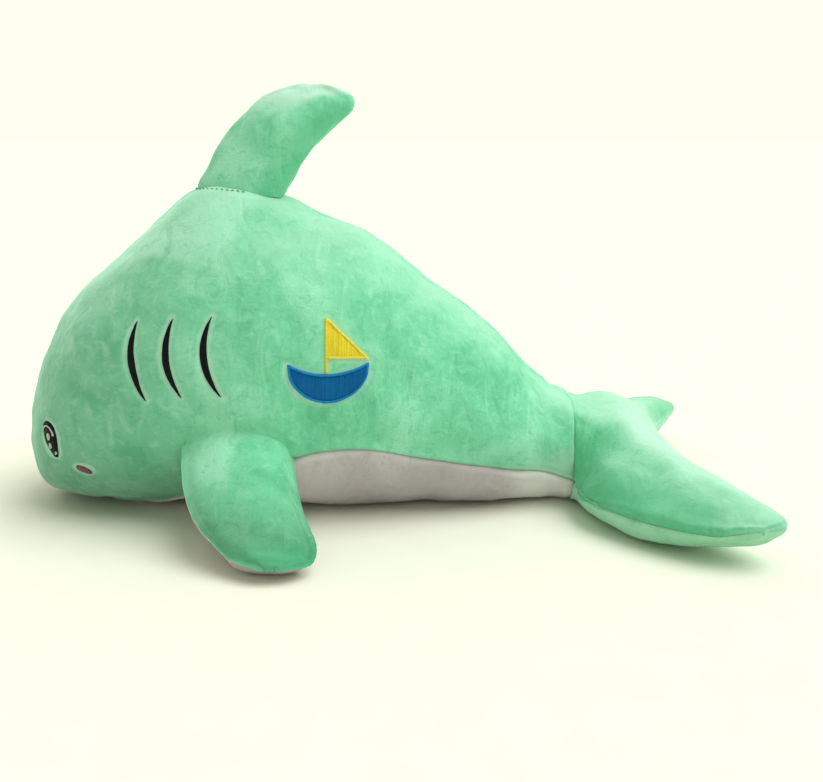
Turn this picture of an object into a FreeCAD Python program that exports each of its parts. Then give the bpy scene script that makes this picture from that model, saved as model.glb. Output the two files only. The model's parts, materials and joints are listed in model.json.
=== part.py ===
import FreeCAD, Part
import math
import os

from FreeCAD import Vector

# Plush shark lying on its belly. Millimetres. +Z is up, the nose points to -X and the tail to +X.
# The animal's left side faces -Y. The origin is under the middle of the toy, on the surface it lies on.

# ---- Driving dimensions ----
HALF_LENGTH = 302.0        # nose and tail tips lie this far from the middle
SINK = 4.0                 # how far the belly is flattened by the toy's own weight
FABRIC = 2.0               # cover thickness, backing and pile together
AIR = 0.3                  # gap between a cover and the filling behind it
JOINT_GAP = 0.6            # clearance between a fin's rounded root and the socket it sits in
ROOT_SWELL = 0.5           # how much rounder a fin's root is than the section it starts from
THREAD = 0.9               # thickness of the embroidery
THREAD_LIFT = 0.2          # gap between the embroidery and the fabric
FAR = 900.0                # larger than the toy, for cutting tools

# Body stations: x, underside, top of the back, half width.
BODY_STATIONS = (
    (-302, 27, 50, 11), (-298, 15, 78, 30), (-289, 8, 113, 50), (-273, 4, 152, 69),
    (-250, 1, 183, 83), (-222, -2, 208, 92), (-185, -4, 239, 98), (-145, -4, 262, 100),
    (-105, -4, 262, 100), (-65, -4, 249, 98), (-15, -4, 231, 91), (27, -4, 202, 83),
    (68, -4, 173, 73), (108, -4, 137, 61), (140, -4, 108, 52), (170, -4, 92, 46),
)
WIDEST_AT = 0.42           # height of the widest point, as a share of the section's height
UPPER_POWER = 2.0          # section roundness above the widest point
LOWER_POWER = 2.1         # and below it, where the body is a little squarer

# Side seam between the back covers and the belly panel: x, height.
BELLY_SEAM = (
    (-262, -1), (-235, 3), (-200, 7), (-168, 14), (-130, 42), (-90, 57), (-35, 67),
    (15, 63), (60, 52), (105, 40), (160, 27),
)

# Dorsal fin: height, leading x, trailing x, half thickness. It rocks about an axis along its root.
DORSAL_STATIONS = (
    (266, -151, -76, 24), (285, -142, -64, 22), (303, -132, -48, 19.5), (321, -116, -29, 16),
    (334, -99, -20, 12), (343, -83, -26, 8), (348, -67, -40, 3.5),
)

# Pectoral fin: span from its axis, leading x, trailing x, half thickness.
PECTORAL_AXIS_Y = 94.0
PECTORAL_AXIS_Z = 60.0
PECTORAL_DROOP = 31.0      # degrees below horizontal
PECTORAL_STATIONS = (
    (0, -153, -71, 26), (25, -150, -67, 25), (50, -141, -60, 23), (72, -126, -50, 20),
    (89, -109, -46, 15.5), (99, -96, -52, 10), (104.5, -84, -62, 4),
)

# Tail. The stalk runs back from the seam; the fluke spans from tip to tip across it.
TAIL_AXIS_X = 165.0
TAIL_RADIUS = 46.0         # of the rounded stalk root, which is also the height of the tail's axis
TORSO_END_X = 150.0
STALK_STATIONS = (         # x, underside, top, half width
    (165, 1, 92, 45.5), (188, 0.5, 91, 58), (208, 1, 87, 66), (228, 4, 76, 50), (238, 22, 54, 24),
)
FLUKE_STATIONS = (         # distance from the middle, leading x, trailing x, underside, top
    (0, 178, 246, 2, 69), (45, 172, 252, 1, 68), (80, 172, 263, 0.4, 65), (107, 186, 277, 1, 61),
    (132, 209, 291, 4, 57), (150, 232, 301, 9, 53), (161, 250, 302, 17, 48), (167, 266, 295, 26, 40),
)
TAIL_SEAM_Z = 25.0

# Embroidery, seen from the side: x and z of each point.
GILLS = (                  # top, middle of the curve, bottom
    ((-184, 171), (-189, 140), (-178, 110)), ((-155, 174), (-161, 143), (-150, 113)),
    ((-125, 176), (-132, 145), (-119, 114)),
)
GILL_WIDTH = 6.0
HULL_LEFT, HULL_RIGHT, HULL_KEEL = (-69, 139), (-6, 138), (-38, 107)
HULL_DECK = (-38, 130)
SAIL_TOP, SAIL_CLEW, SAIL_TACK = (-39, 173), (-6, 140), (-39, 142)
RIGGING_WIDTH = 2.4
EYE_CENTRE, EYE_WIDTH, EYE_HEIGHT = (-256, 71), 17.0, 31.0
CHEEK_CENTRE, CHEEK_WIDTH, CHEEK_HEIGHT = (-233, 47), 15.0, 7.5
FACE_TURN = 35.0           # degrees the eye's patch of the head is turned towards the nose
MOUTH_Z, MOUTH_HALF_WIDTH, MOUTH_DROP, MOUTH_WIDTH = 50.0, 15.0, 6.0, 3.0


# ---- Small helpers ----
def smooth_closed(points):
    curve = Part.BSplineCurve()
    curve.interpolate(Points=points, PeriodicFlag=True)
    return Part.Wire([curve.toShape()])


def loft(wires):
    return Part.makeLoft(wires, True, False)


def power(value, exponent):
    return math.copysign(abs(value) ** exponent, value)


def mirrored(shape):
    return shape.mirror(Vector(0, 0, 0), Vector(0, 1, 0))


def slab(low, high):
    """A box between two corners."""
    size = high - low
    return Part.makeBox(size.x, size.y, size.z, low)


def above(z):
    return slab(Vector(-FAR, -FAR, z), Vector(FAR, FAR, FAR))


def left_half():
    return slab(Vector(-FAR, -FAR, -FAR), Vector(FAR, 0, FAR))


def oval_prism(centre, width, height, turn, depth):
    """An elliptic prism whose axis is horizontal, turned away from -Y towards -X."""
    ellipse = Part.Ellipse(Vector(0, 0, 0), max(width, height) / 2, min(width, height) / 2)
    wire = Part.Wire([ellipse.toShape()])
    if height > width:
        wire.rotate(Vector(0, 0, 0), Vector(0, 0, 1), 90)
    wire.rotate(Vector(0, 0, 0), Vector(1, 0, 0), 90)
    prism = Part.Face(wire).extrude(Vector(0, -depth, 0))
    prism.rotate(Vector(0, 0, 0), Vector(0, 0, 1), -turn)
    prism.translate(centre)
    return prism


def side_prism(edges, depth=150):
    """Prism from an outline in the XZ plane, towards the animal's left."""
    return Part.Face(Part.Wire(edges)).extrude(Vector(0, -depth, 0))


def flat(point):
    return Vector(point[0], 0, point[1])


def arc(first, middle, last):
    return Part.Arc(flat(first), flat(middle), flat(last)).toShape()


def straight(first, last):
    return Part.LineSegment(flat(first), flat(last)).toShape()


def spheroid(centre, half_length, radius):
    """An oval ball, round about the X direction."""
    stretch = FreeCAD.Matrix()
    stretch.scale(half_length, radius, radius)
    ball = Part.makeSphere(1).transformGeometry(stretch)
    ball.translate(centre)
    return ball


# ---- Torso ----
def body_ring(station, grow):
    x, low, high, half_width = station
    x = x * (1 + grow / HALF_LENGTH)
    low, high, half_width = low - grow, high + grow, half_width + grow
    middle = low + (high - low) * WIDEST_AT
    points = []
    count = 28
    for index in range(count):
        angle = 2 * math.pi * index / count
        up = math.sin(angle) > 0
        exponent = 2 / (UPPER_POWER if up else LOWER_POWER)
        rise = (high - middle) if up else (middle - low)
        y = half_width * power(math.cos(angle), exponent)
        z = middle + rise * power(math.sin(angle), exponent)
        points.append(Vector(x, y, z))
    return smooth_closed(points)


def body_blank(grow):
    return loft([body_ring(station, grow) for station in BODY_STATIONS])


def torso_solid(grow, gap):
    """The body with its flattened belly, cut back for the fins' sockets."""
    solid = body_blank(grow).common(above(-grow))
    solid = solid.common(slab(Vector(-FAR, -FAR, -FAR), Vector(TORSO_END_X + grow, FAR, FAR)))
    for socket in (dorsal_root(gap), pectoral_root(gap), mirrored(pectoral_root(gap)), tail_root(gap)):
        solid = solid.cut(socket)
    return solid


def belly_prism():
    points = [Vector(x, -FAR / 2, z) for x, z in BELLY_SEAM]
    seam = Part.BSplineCurve()
    seam.interpolate(points)
    start, end = points[0], points[-1]
    corners = [end, Vector(FAR, end.y, end.z), Vector(FAR, end.y, -FAR), Vector(-FAR, end.y, -FAR)]
    corners += [Vector(-FAR, start.y, start.z), start]
    edges = [seam.toShape()]
    for first, last in zip(corners, corners[1:]):
        edges.append(Part.LineSegment(first, last).toShape())
    return Part.Face(Part.Wire(edges)).extrude(Vector(0, FAR, 0))


def torso_covers():
    shell = torso_solid(0, JOINT_GAP).cut(torso_solid(-FABRIC, JOINT_GAP + FABRIC))
    prism = belly_prism()
    back = shell.cut(prism)
    left = back.common(left_half())
    return left, mirrored(left), shell.common(prism)


# ---- Fins ----
def oval_section(centre, half_chord, half_thickness, normal):
    """Ellipse in the plane of X and normal, always started at the trailing edge."""
    points = []
    count = 16
    for index in range(count):
        angle = 2 * math.pi * index / count
        chord = Vector(half_chord * math.cos(angle), 0, 0)
        points.append(centre + chord + normal * (half_thickness * math.sin(angle)))
    return smooth_closed(points)


def fin_blank(stations, grow, place, normal):
    """Fin lofted from sections at growing spans. place(x, span) gives a point on the middle plane."""
    wires = []
    last = stations[-1][0]
    for span, lead, trail, half_thickness in stations:
        reach = grow * (span - stations[0][0]) / (last - stations[0][0])
        centre = place((lead + trail) / 2, span + reach)
        wires.append(oval_section(centre, (trail - lead) / 2 + grow, half_thickness + grow, normal))
    return loft(wires)


def fin_root(station, centre, grow):
    """Rounded end that a fin turns on, in its socket."""
    _, lead, trail, half_thickness = station
    swell = ROOT_SWELL + grow
    return spheroid(centre, (trail - lead) / 2 + swell, half_thickness + swell)


def dorsal_root(grow):
    height, lead, trail, _ = DORSAL_STATIONS[0]
    return fin_root(DORSAL_STATIONS[0], Vector((lead + trail) / 2, 0, height), grow)


def dorsal_solid(grow):
    blank = fin_blank(DORSAL_STATIONS, grow, lambda x, span: Vector(x, 0, span), Vector(0, 1, 0))
    return blank.fuse(dorsal_root(grow))


def pectoral_axis(x):
    return Vector(x, -PECTORAL_AXIS_Y, PECTORAL_AXIS_Z)


def pectoral_directions():
    droop = math.radians(PECTORAL_DROOP)
    outward = Vector(0, -math.cos(droop), -math.sin(droop))
    return outward, Vector(0, -math.sin(droop), math.cos(droop))


def pectoral_root(grow):
    _, lead, trail, _ = PECTORAL_STATIONS[0]
    return fin_root(PECTORAL_STATIONS[0], pectoral_axis((lead + trail) / 2), grow)


def pectoral_solid(grow):
    outward, normal = pectoral_directions()
    blank = fin_blank(PECTORAL_STATIONS, grow, lambda x, span: pectoral_axis(x) + outward * span, normal)
    return blank.fuse(pectoral_root(grow))


def split_cover(outer, inner, half_space):
    """The skin between two solids, parted into what lies in the half space and the rest."""
    skin = outer.cut(inner)
    return skin.common(half_space), skin.cut(half_space)


# ---- Tail ----
def tail_root(grow):
    centre = Vector(TAIL_AXIS_X, 0, TAIL_RADIUS + ROOT_SWELL)
    return Part.makeSphere(TAIL_RADIUS + grow, centre, Vector(0, 1, 0))


def stalk_blank(grow):
    wires = []
    for x, low, high, half_width in STALK_STATIONS:
        points = []
        count = 20
        for index in range(count):
            angle = 2 * math.pi * index / count
            y = (half_width + grow) * math.cos(angle)
            z = (low + high) / 2 + ((high - low) / 2 + grow) * math.sin(angle)
            points.append(Vector(x, y, z))
        wires.append(smooth_closed(points))
    return loft(wires)


def fluke_blank(grow):
    wires = []
    both_sides = [(-y, *rest) for y, *rest in reversed(FLUKE_STATIONS[1:])] + list(FLUKE_STATIONS)
    for y, lead, trail, low, high in both_sides:
        y = y * (1 + grow / FLUKE_STATIONS[-1][0])
        centre = Vector((lead + trail) / 2, y, (low + high) / 2)
        wires.append(oval_section(centre, (trail - lead) / 2 + grow, (high - low) / 2 + grow, Vector(0, 0, 1)))
    return loft(wires)


def tail_solid(grow):
    return stalk_blank(grow).fuse([fluke_blank(grow), tail_root(grow)])


# ---- Embroidery ----
def satin(prism, raised):
    """Thread standing on the fabric inside the given prism."""
    return raised.common(prism)


def gill_prisms():
    prisms = []
    for top, middle, bottom in GILLS:
        outer = (middle[0] - GILL_WIDTH / 2, middle[1])
        inner = (middle[0] + GILL_WIDTH / 2, middle[1])
        prisms.append(side_prism([arc(top, outer, bottom), arc(bottom, inner, top)]))
    return prisms


def hull_prism():
    return side_prism([arc(HULL_LEFT, HULL_KEEL, HULL_RIGHT), arc(HULL_RIGHT, HULL_DECK, HULL_LEFT)])


def sail_prism():
    edges = [straight(SAIL_TACK, SAIL_TOP), straight(SAIL_TOP, SAIL_CLEW), straight(SAIL_CLEW, SAIL_TACK)]
    return side_prism(edges)


def rigging_prism():
    """Mast below the sail, down to the deck."""
    half = RIGGING_WIDTH / 2
    left, right = SAIL_TACK[0] - half, SAIL_TACK[0] + half
    top, deck = SAIL_TACK[1] - AIR, HULL_DECK[1] + AIR
    corners = [(left, top), (right, top), (right, deck), (left, deck), (left, top)]
    return side_prism([straight(first, last) for first, last in zip(corners, corners[1:])])


def eye_prism():
    centre = Vector(EYE_CENTRE[0], -60, EYE_CENTRE[1])
    return oval_prism(centre, EYE_WIDTH, EYE_HEIGHT, FACE_TURN, 50)


def glint_prisms():
    """Two light reflections, high and low on the eye."""
    prisms = []
    for shift, rise, width, height in ((-1.5, 8.0, 6.5, 7.5), (2.0, -8.0, 4.0, 4.5)):
        along = math.radians(FACE_TURN)
        x = EYE_CENTRE[0] + shift * math.cos(along)
        y = -60 - shift * math.sin(along)
        prisms.append(oval_prism(Vector(x, y, EYE_CENTRE[1] + rise), width, height, FACE_TURN, 50))
    return prisms


def cheek_prism():
    centre = Vector(CHEEK_CENTRE[0], -60, CHEEK_CENTRE[1])
    return oval_prism(centre, CHEEK_WIDTH, CHEEK_HEIGHT, FACE_TURN / 2, 50)


def mouth_prism():
    """A shallow smile across the front of the head."""
    half = MOUTH_WIDTH / 2
    ends = [(-MOUTH_HALF_WIDTH, MOUTH_Z), (0, MOUTH_Z - MOUTH_DROP), (MOUTH_HALF_WIDTH, MOUTH_Z)]
    upper = [Vector(0, y, z + half) for y, z in ends]
    lower = [Vector(0, y, z - half) for y, z in ends]
    edges = [
        Part.Arc(*upper).toShape(), Part.LineSegment(upper[2], lower[2]).toShape(),
        Part.Arc(*reversed(lower)).toShape(), Part.LineSegment(lower[0], upper[0]).toShape(),
    ]
    return Part.Face(Part.Wire(edges)).extrude(Vector(-FAR, 0, 0))


# ---- Assembly ----
def torso_parts():
    left, right, belly = torso_covers()
    raised = body_blank(THREAD_LIFT + THREAD).cut(body_blank(THREAD_LIFT))
    raised_left = raised.common(left_half())
    eye = eye_prism()
    glints = Part.makeCompound([satin(prism, raised_left) for prism in glint_prisms()])
    eye_left = satin(eye, raised_left).cut(Part.makeCompound(glint_prisms()))
    gills = Part.makeCompound([satin(prism, raised_left) for prism in gill_prisms()])
    cheek = satin(cheek_prism(), raised_left)
    return {
        "body_cover_left": left,
        "body_cover_right": right,
        "belly_panel": belly,
        "body_stuffing": torso_solid(-FABRIC - AIR, JOINT_GAP + FABRIC + AIR),
        "gill_stitching_left": gills,
        "gill_stitching_right": mirrored(gills),
        "eye_left": eye_left,
        "eye_right": mirrored(eye_left),
        "eye_glints_left": glints,
        "eye_glints_right": mirrored(glints),
        "cheek_left": cheek,
        "cheek_right": mirrored(cheek),
        "mouth_stitching": satin(mouth_prism(), raised),
        "boat_hull": satin(hull_prism(), raised_left),
        "boat_sail": satin(sail_prism(), raised_left),
        "boat_mast": satin(rigging_prism(), raised_left),
    }


def dorsal_parts():
    outer, inner = dorsal_solid(0), dorsal_solid(-FABRIC)
    left, right = split_cover(outer, inner, left_half())
    return {
        "dorsal_cover_left": left,
        "dorsal_cover_right": right,
        "dorsal_stuffing": dorsal_solid(-FABRIC - AIR),
    }


def pectoral_parts():
    outer, inner = pectoral_solid(0), pectoral_solid(-FABRIC)
    side = Part.makeBox(2 * FAR, 2 * FAR, FAR, Vector(-FAR, -FAR, 0))
    side.rotate(Vector(0, 0, 0), Vector(1, 0, 0), PECTORAL_DROOP)
    side.translate(pectoral_axis(0))
    upper, under = split_cover(outer, inner, side)
    shapes = {
        "pectoral_upper_cover": upper,
        "pectoral_under_cover": under,
        "pectoral_stuffing": pectoral_solid(-FABRIC - AIR),
    }
    parts = {}
    for name, shape in shapes.items():
        parts["left_" + name] = shape
        parts["right_" + name] = mirrored(shape)
    return parts


def tail_parts():
    outer, inner = tail_solid(0), tail_solid(-FABRIC)
    upper, under = split_cover(outer, inner, above(TAIL_SEAM_Z))
    return {
        "tail_upper_cover": upper,
        "tail_under_cover": under,
        "tail_stuffing": tail_solid(-FABRIC - AIR),
    }


def main():
    os.makedirs("parts", exist_ok=True)
    parts = {**torso_parts(), **dorsal_parts(), **pectoral_parts(), **tail_parts()}
    for name, shape in parts.items():
        shape.exportStep(os.path.join("parts", name + ".step"))
        print(name, "solids", len(shape.Solids), "valid", shape.isValid(), "cm3", round(shape.Volume / 1000, 2))


main()
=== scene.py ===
import json
import math

import bmesh
import bpy
import numpy as np
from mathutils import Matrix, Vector, noise
from mathutils.bvhtree import BVHTree


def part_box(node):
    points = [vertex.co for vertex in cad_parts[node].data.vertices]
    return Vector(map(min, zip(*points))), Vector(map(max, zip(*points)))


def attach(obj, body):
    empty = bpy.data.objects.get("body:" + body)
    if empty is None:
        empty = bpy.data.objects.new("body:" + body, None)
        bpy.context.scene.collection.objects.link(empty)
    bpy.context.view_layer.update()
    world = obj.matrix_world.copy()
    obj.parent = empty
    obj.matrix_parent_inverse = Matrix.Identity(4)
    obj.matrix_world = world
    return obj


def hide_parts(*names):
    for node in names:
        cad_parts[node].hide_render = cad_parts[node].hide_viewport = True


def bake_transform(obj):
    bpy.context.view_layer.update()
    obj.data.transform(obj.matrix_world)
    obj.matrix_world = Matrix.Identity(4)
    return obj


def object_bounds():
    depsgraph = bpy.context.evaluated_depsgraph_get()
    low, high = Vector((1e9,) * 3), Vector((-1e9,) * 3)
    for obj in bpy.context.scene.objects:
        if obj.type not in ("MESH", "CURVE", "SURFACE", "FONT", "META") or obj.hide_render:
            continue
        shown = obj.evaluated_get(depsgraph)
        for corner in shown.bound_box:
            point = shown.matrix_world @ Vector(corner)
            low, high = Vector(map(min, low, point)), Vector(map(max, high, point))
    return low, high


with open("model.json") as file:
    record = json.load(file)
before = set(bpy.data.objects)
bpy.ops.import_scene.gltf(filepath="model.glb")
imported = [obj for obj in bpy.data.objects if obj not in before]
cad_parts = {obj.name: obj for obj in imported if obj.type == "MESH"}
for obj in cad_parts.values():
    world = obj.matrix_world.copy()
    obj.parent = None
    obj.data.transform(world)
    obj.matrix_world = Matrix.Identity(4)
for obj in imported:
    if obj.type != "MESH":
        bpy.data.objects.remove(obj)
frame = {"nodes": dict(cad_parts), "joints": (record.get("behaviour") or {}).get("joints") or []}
CAD_LOW, CAD_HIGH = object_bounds()
NODES = frame["nodes"]
JOINTS = {joint["name"]: joint for joint in frame["joints"]}
MM = 0.001
TAU = 2 * math.pi
SIDES = {"left": -1, "right": 1}       # the y direction of the animal's two sides

# ---- Driving values: fabric and seams ----
SEAM_DEPTH = 2.2 * MM          # how far the fabric dives into a seam
SEAM_WIDTH = 4.2 * MM          # over this distance from it
WELT = (0.8 * MM, 6 * MM, 3.5 * MM)    # height of the puffed welt beside a seam, its place and its reach
SEAM_OVERLAP = 1.6 * MM        # the tail's first row starts this far inside the torso's last
STITCH_PITCH = 4.2 * MM
PUCKER = 0.9 * MM              # height of the puckers beside a seam
EDGE_SPARE = 1.8 * MM          # a fin's outline grows by this before its seams dive in
ROOT_INSET = 3.0 * MM          # a fin's edge lies this far below the torso's surface
LUMPS = (                      # the filling felt through the fabric: height, size and shift of its lumps
    (1.5 * MM, 75 * MM, 0),
    (0.7 * MM, 30 * MM, 5),
    (0.25 * MM, 11 * MM, 9),
)
FILL_GAP = 8.0 * MM            # between a cover and the filling piece behind it
FLOOR_ROUNDING = 0.8 * MM      # how softly a cover's underside flattens on the floor
WRINKLE_SHARE = 0.40           # how much of the simulated wrinkling is kept
WRINKLE_CAP = 3.5 * MM
TAIL_CALM = 0.4                # the tail is filled tighter than the body, and wrinkles less
NORMAL_STEP = 0.004            # share of a form over which its slope is taken
CLOTH_FRAMES = 20
CLOTH = {
    "quality": 5,
    "mass": 0.2,
    "tension_stiffness": 20,
    "compression_stiffness": 20,
    "bending_stiffness": 0.15,
    "use_pressure": True,
    "uniform_pressure_force": 4,
    "shrink_min": 0.0,
    "shrink_max": 0.22,
}

# ---- Driving values: torso ----
TORSO_STEP = 2.4 * MM          # spacing of the rows and columns of a back panel
BELLY_STEP = 3.2 * MM          # and of the belly panel's columns
BACK_WIDTH = 270 * MM          # of one back panel, round the body
BELLY_WIDTH = 240 * MM
HARMONICS = 9                  # cosine terms of each of the torso's rings
CENTRE_SHARE = 0.42            # a ring's centre lies at this share of the torso's height
STATION_HALF = 3 * MM          # half thickness of the slice that is read at each station
SOCKET_MARGIN = 3 * MM         # the torso isn't read this near to a fin's socket
DORSAL_GAP = 0.05              # nor its top, this far along x from the dorsal fin's axis
PECTORAL_GAP = 0.052           # nor the belly's seam, this far along x from a pectoral fin's axis
FRONT_LENGTH = 60 * MM         # the stations are closer together over this length of the nose
NOSE_CAP = 5 * MM              # the nose's first stretch is rounded off like the end of an egg
NOSE_SPARE = 2 * MM            # that cap may reach this much further forward
BELLY_START = 8 * MM           # the belly panel's point is sewn in this far behind the frame's
BELLY_LIFT = 0.12              # radians by which the belly's seam is higher beside the tail
TAIL_SEAM_X = 0.166            # where the torso's fabric is sewn to the tail's
REAR_X = (0.105, 0.133, 0.168)     # the line of the back starts to dip, is lowest, and is level again here
REAR_DIP = 4.5 * MM            # depth of that dip
REAR_RISE = 9.5 * MM           # and the rise from there to the tail's seam
COLLAR_HEIGHT = 10 * MM        # the fabric round the dorsal fin's root is drawn up this far
COLLAR_HALF_LENGTH = 56 * MM
COLLAR_HALF_WIDTH = 40 * MM

# ---- Driving values: fins and tail ----
FIN_ROWS, FIN_COLUMNS = 72, 128
TAIL_ROWS, TAIL_COLUMNS = 84, 240
DORSAL_TRIM = (3.5 * MM, 6.5 * MM)     # the dorsal fin's edges are drawn in this far at the root
DORSAL_WAIST = (4.5 * MM, 4.0 * MM)    # and this far between the root and the tip
DORSAL_BEND = (0.255, 0.295)           # heights given as the ends of the dorsal fin's bend in its hinge
PECTORAL_BEND = 32 * MM        # length from its axis given as the end of a pectoral fin's bend in its hinge
PECTORAL_TIP_LIFT = 8 * MM     # the closing line of its tip is raised by this
PECTORAL_WRAP = 0.065          # turns by which its white panel wraps up the leading edge
TAIL_BEND = ((TAIL_SEAM_X + 1 * MM, 0, 0), (TAIL_SEAM_X + 40 * MM, 0, 0))
TAIL_INSET = (0.97, 0.975)     # its heights are read this much inside its plan, across and along
LOBE_EDGE_Z = 24 * MM          # the seam along a tail lobe's leading edge runs at this height
LOBE_SLOPE = 60 * MM           # a lobe's top rises over this far from its leading edge
TIP_REACH = 3 * MM             # a lobe's fabric tip stands proud of the frame's by this
ARMPIT_FILL = 8 * MM           # the fabric bridges the hollow between the tail's root and each lobe
ARMPIT = (206 * MM, 58 * MM)   # middle of that hollow: x, and distance from the tail's middle
ARMPIT_REACH = 30 * MM
HUMP_DROP = 8 * MM             # the fabric over the tail's root is this much flatter than the frame's
HUMP_X = 200 * MM
HUMP_REACH = (26 * MM, 50 * MM)        # along x and across

# ---- Driving values: embroidery and light ----
FACE_TURN = 35                 # degrees that the eye's patch of the head faces the nose
KEY_POWER = 2.0
FLOOR_REACH = 40.0
CAMERA_PLACE = (0.0270, -0.80475, 0.3107)
CAMERA_TILT = 74.8             # degrees from straight down
CAMERA_LENS = 41.56            # for a sensor 36 wide


# ---- Small numeric helpers ----
def vertices(*names):
    """All vertices of the named CAD nodes as one array."""
    parts = []
    for name in names:
        mesh = NODES[name].data
        co = np.zeros(len(mesh.vertices) * 3, np.float32)
        mesh.vertices.foreach_get("co", co)
        parts.append(co.reshape(-1, 3).astype(float))
    return np.vstack(parts)


def pivot_of(joint):
    """Place of a joint's axis."""
    return np.array(JOINTS[joint]["pos_m"])


def tree_of(*names):
    """Ray-casting tree of the named CAD nodes."""
    points, faces = [], []
    for name in names:
        mesh = NODES[name].data
        start = len(points)
        points += [v.co.copy() for v in mesh.vertices]
        faces += [[start + i for i in p.vertices] for p in mesh.polygons]
    return BVHTree.FromPolygons(points, faces)


def cast(tree, origin, direction):
    """First hit along a ray as an array, or None."""
    hit = tree.ray_cast(Vector(origin), Vector(direction))[0]
    return None if hit is None else np.array(hit)


def smoothstep(low, high, value):
    """0 below low, 1 above high, and smooth between them."""
    t = np.clip((value - low) / (high - low), 0, 1)
    return t * t * (3 - 2 * t)


def flatten(z, rounding):
    """Heights pressed flat on the floor, with a soft edge."""
    return rounding * np.logaddexp(0, z / rounding)


def soften(values, passes):
    """Smooths a list of numbers along its first axis, keeping its ends."""
    values = np.array(values, float)
    for _ in range(passes):
        values[1:-1] = (values[:-2] + 2 * values[1:-1] + values[2:]) / 4
    return values


def unit(vectors):
    """A grid of vectors, each brought to length 1."""
    return vectors / np.maximum(np.linalg.norm(vectors, axis=2, keepdims=True), 1e-12)


def grid_normals(points, closed=False):
    """Unit normals of a grid of points: rows by columns, columns joined in a ring where closed."""
    if closed:
        across = (np.roll(points, -1, 1) - np.roll(points, 1, 1)) / 2
    else:
        across = np.gradient(points, axis=1)
    return unit(np.cross(np.gradient(points, axis=0), across))


def sample_lattice(lattice, row, column):
    """Bilinear sample of a grid whose columns form a ring. row is 0..1, column is in turns."""
    rows, columns = lattice.shape[:2]
    r = np.clip(row, 0, 1) * (rows - 1)
    c = (column % 1.0) * columns
    r0 = np.minimum(r.astype(int), rows - 2)
    c0 = c.astype(int) % columns
    c1 = (c0 + 1) % columns
    fr = (r - r0)[..., None]
    fc = (c - np.floor(c))[..., None]
    low = lattice[r0, c0] * (1 - fc) + lattice[r0, c1] * fc
    high = lattice[r0 + 1, c0] * (1 - fc) + lattice[r0 + 1, c1] * fc
    return low * (1 - fr) + high * fr


def rough(points, scale, shift=0.0):
    """Smooth noise between about -1 and 1 at each point; scale is the size of a lump in metres."""
    flat = points.reshape(-1, 3) / scale
    offset = Vector((shift, 2.7 * shift, -1.3 * shift))
    values = [noise.noise(Vector(p) + offset) for p in flat]
    return np.array(values).reshape(points.shape[:-1]) * 2


def distance_to(points, targets):
    """Distance of each point to the nearest target."""
    flat = points.reshape(-1, 3)
    best = np.full(len(flat), 1e9)
    for start in range(0, len(targets), 64):
        block = targets[start:start + 64]
        gap = np.linalg.norm(flat[:, None, :] - block[None], axis=2)
        best = np.minimum(best, gap.min(1))
    return best.reshape(points.shape[:-1])


# ---- Torso surface, read from the frame ----
def pectoral_covers(side):
    """CAD nodes of a pectoral fin's two covers."""
    return [f"{side}_pectoral_{layer}_cover" for layer in ("upper", "under")]


def socket_zones():
    """Centre, half length along x and radius of each fin socket in the torso."""
    zones = []
    fins = [("dorsal_fin_flop", ["dorsal_cover_left"])]
    fins += [(f"{side}_pectoral_flap", pectoral_covers(side)) for side in SIDES]
    for joint, nodes in fins:
        centre = pivot_of(joint)
        near = vertices(*nodes)
        reach = np.linalg.norm((near - centre)[:, 1:], axis=1)
        root = near[np.abs(near[:, 0] - centre[0]) < 2 * MM]
        inner = (root - centre)[:, 1:] @ (-(near.mean(0) - centre)[1:])
        radius = np.linalg.norm((root[inner.argmax()] - centre)[1:])
        half = np.abs(near[reach < 3 * MM][:, 0] - centre[0]).max()
        zones.append((centre, half, radius))
    return zones


def in_zone(point, zones):
    """Whether a point lies in or close to a fin's socket."""
    for centre, half, radius in zones:
        scaled = (point - centre) / (np.array([half, radius, radius]) + SOCKET_MARGIN)
        if scaled @ scaled < 1:
            return True
    return False


def fit_torso(stations, rays=61):
    """Ring coefficients and centre heights at each station, with the sockets bridged over."""
    tree = tree_of("body_cover_left", "body_cover_right", "belly_panel")
    zones = socket_zones()
    root = pivot_of("dorsal_fin_flop")[0]
    tops = []
    for x in stations:
        hit = cast(tree, (x, 0, 1), (0, 0, -1))
        bridged = hit is None or abs(x - root) < DORSAL_GAP
        tops.append(np.nan if bridged else hit[2])
    tops = np.array(tops)
    known = ~np.isnan(tops)
    tops = np.interp(stations, stations[known], tops[known])
    centres = soften(CENTRE_SHARE * tops, 8)
    phi = np.linspace(0, math.pi, rays)
    basis = np.cos(np.outer(phi, np.arange(HARMONICS)))
    penalty = np.diag(0.0004 * np.arange(HARMONICS) ** 4.0)
    rings = []
    for x, centre in zip(stations, centres):
        radii, weights = np.zeros(rays), np.zeros(rays)
        for k, angle in enumerate(phi):
            out = np.array([0, -math.sin(angle), math.cos(angle)])
            hit = cast(tree, np.array([x, 0, centre]) + out, -out)
            if hit is None:
                continue
            radii[k] = (hit - (x, 0, centre)) @ out
            free = radii[k] > 0 and hit[2] > 1.5 * MM and not in_zone(hit, zones)
            weights[k] = 1.0 if free else 0.0
        matrix = basis.T @ (basis * weights[:, None]) + penalty
        rings.append(np.linalg.solve(matrix, basis.T @ (radii * weights)))
    return centres, np.array(rings)


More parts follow.
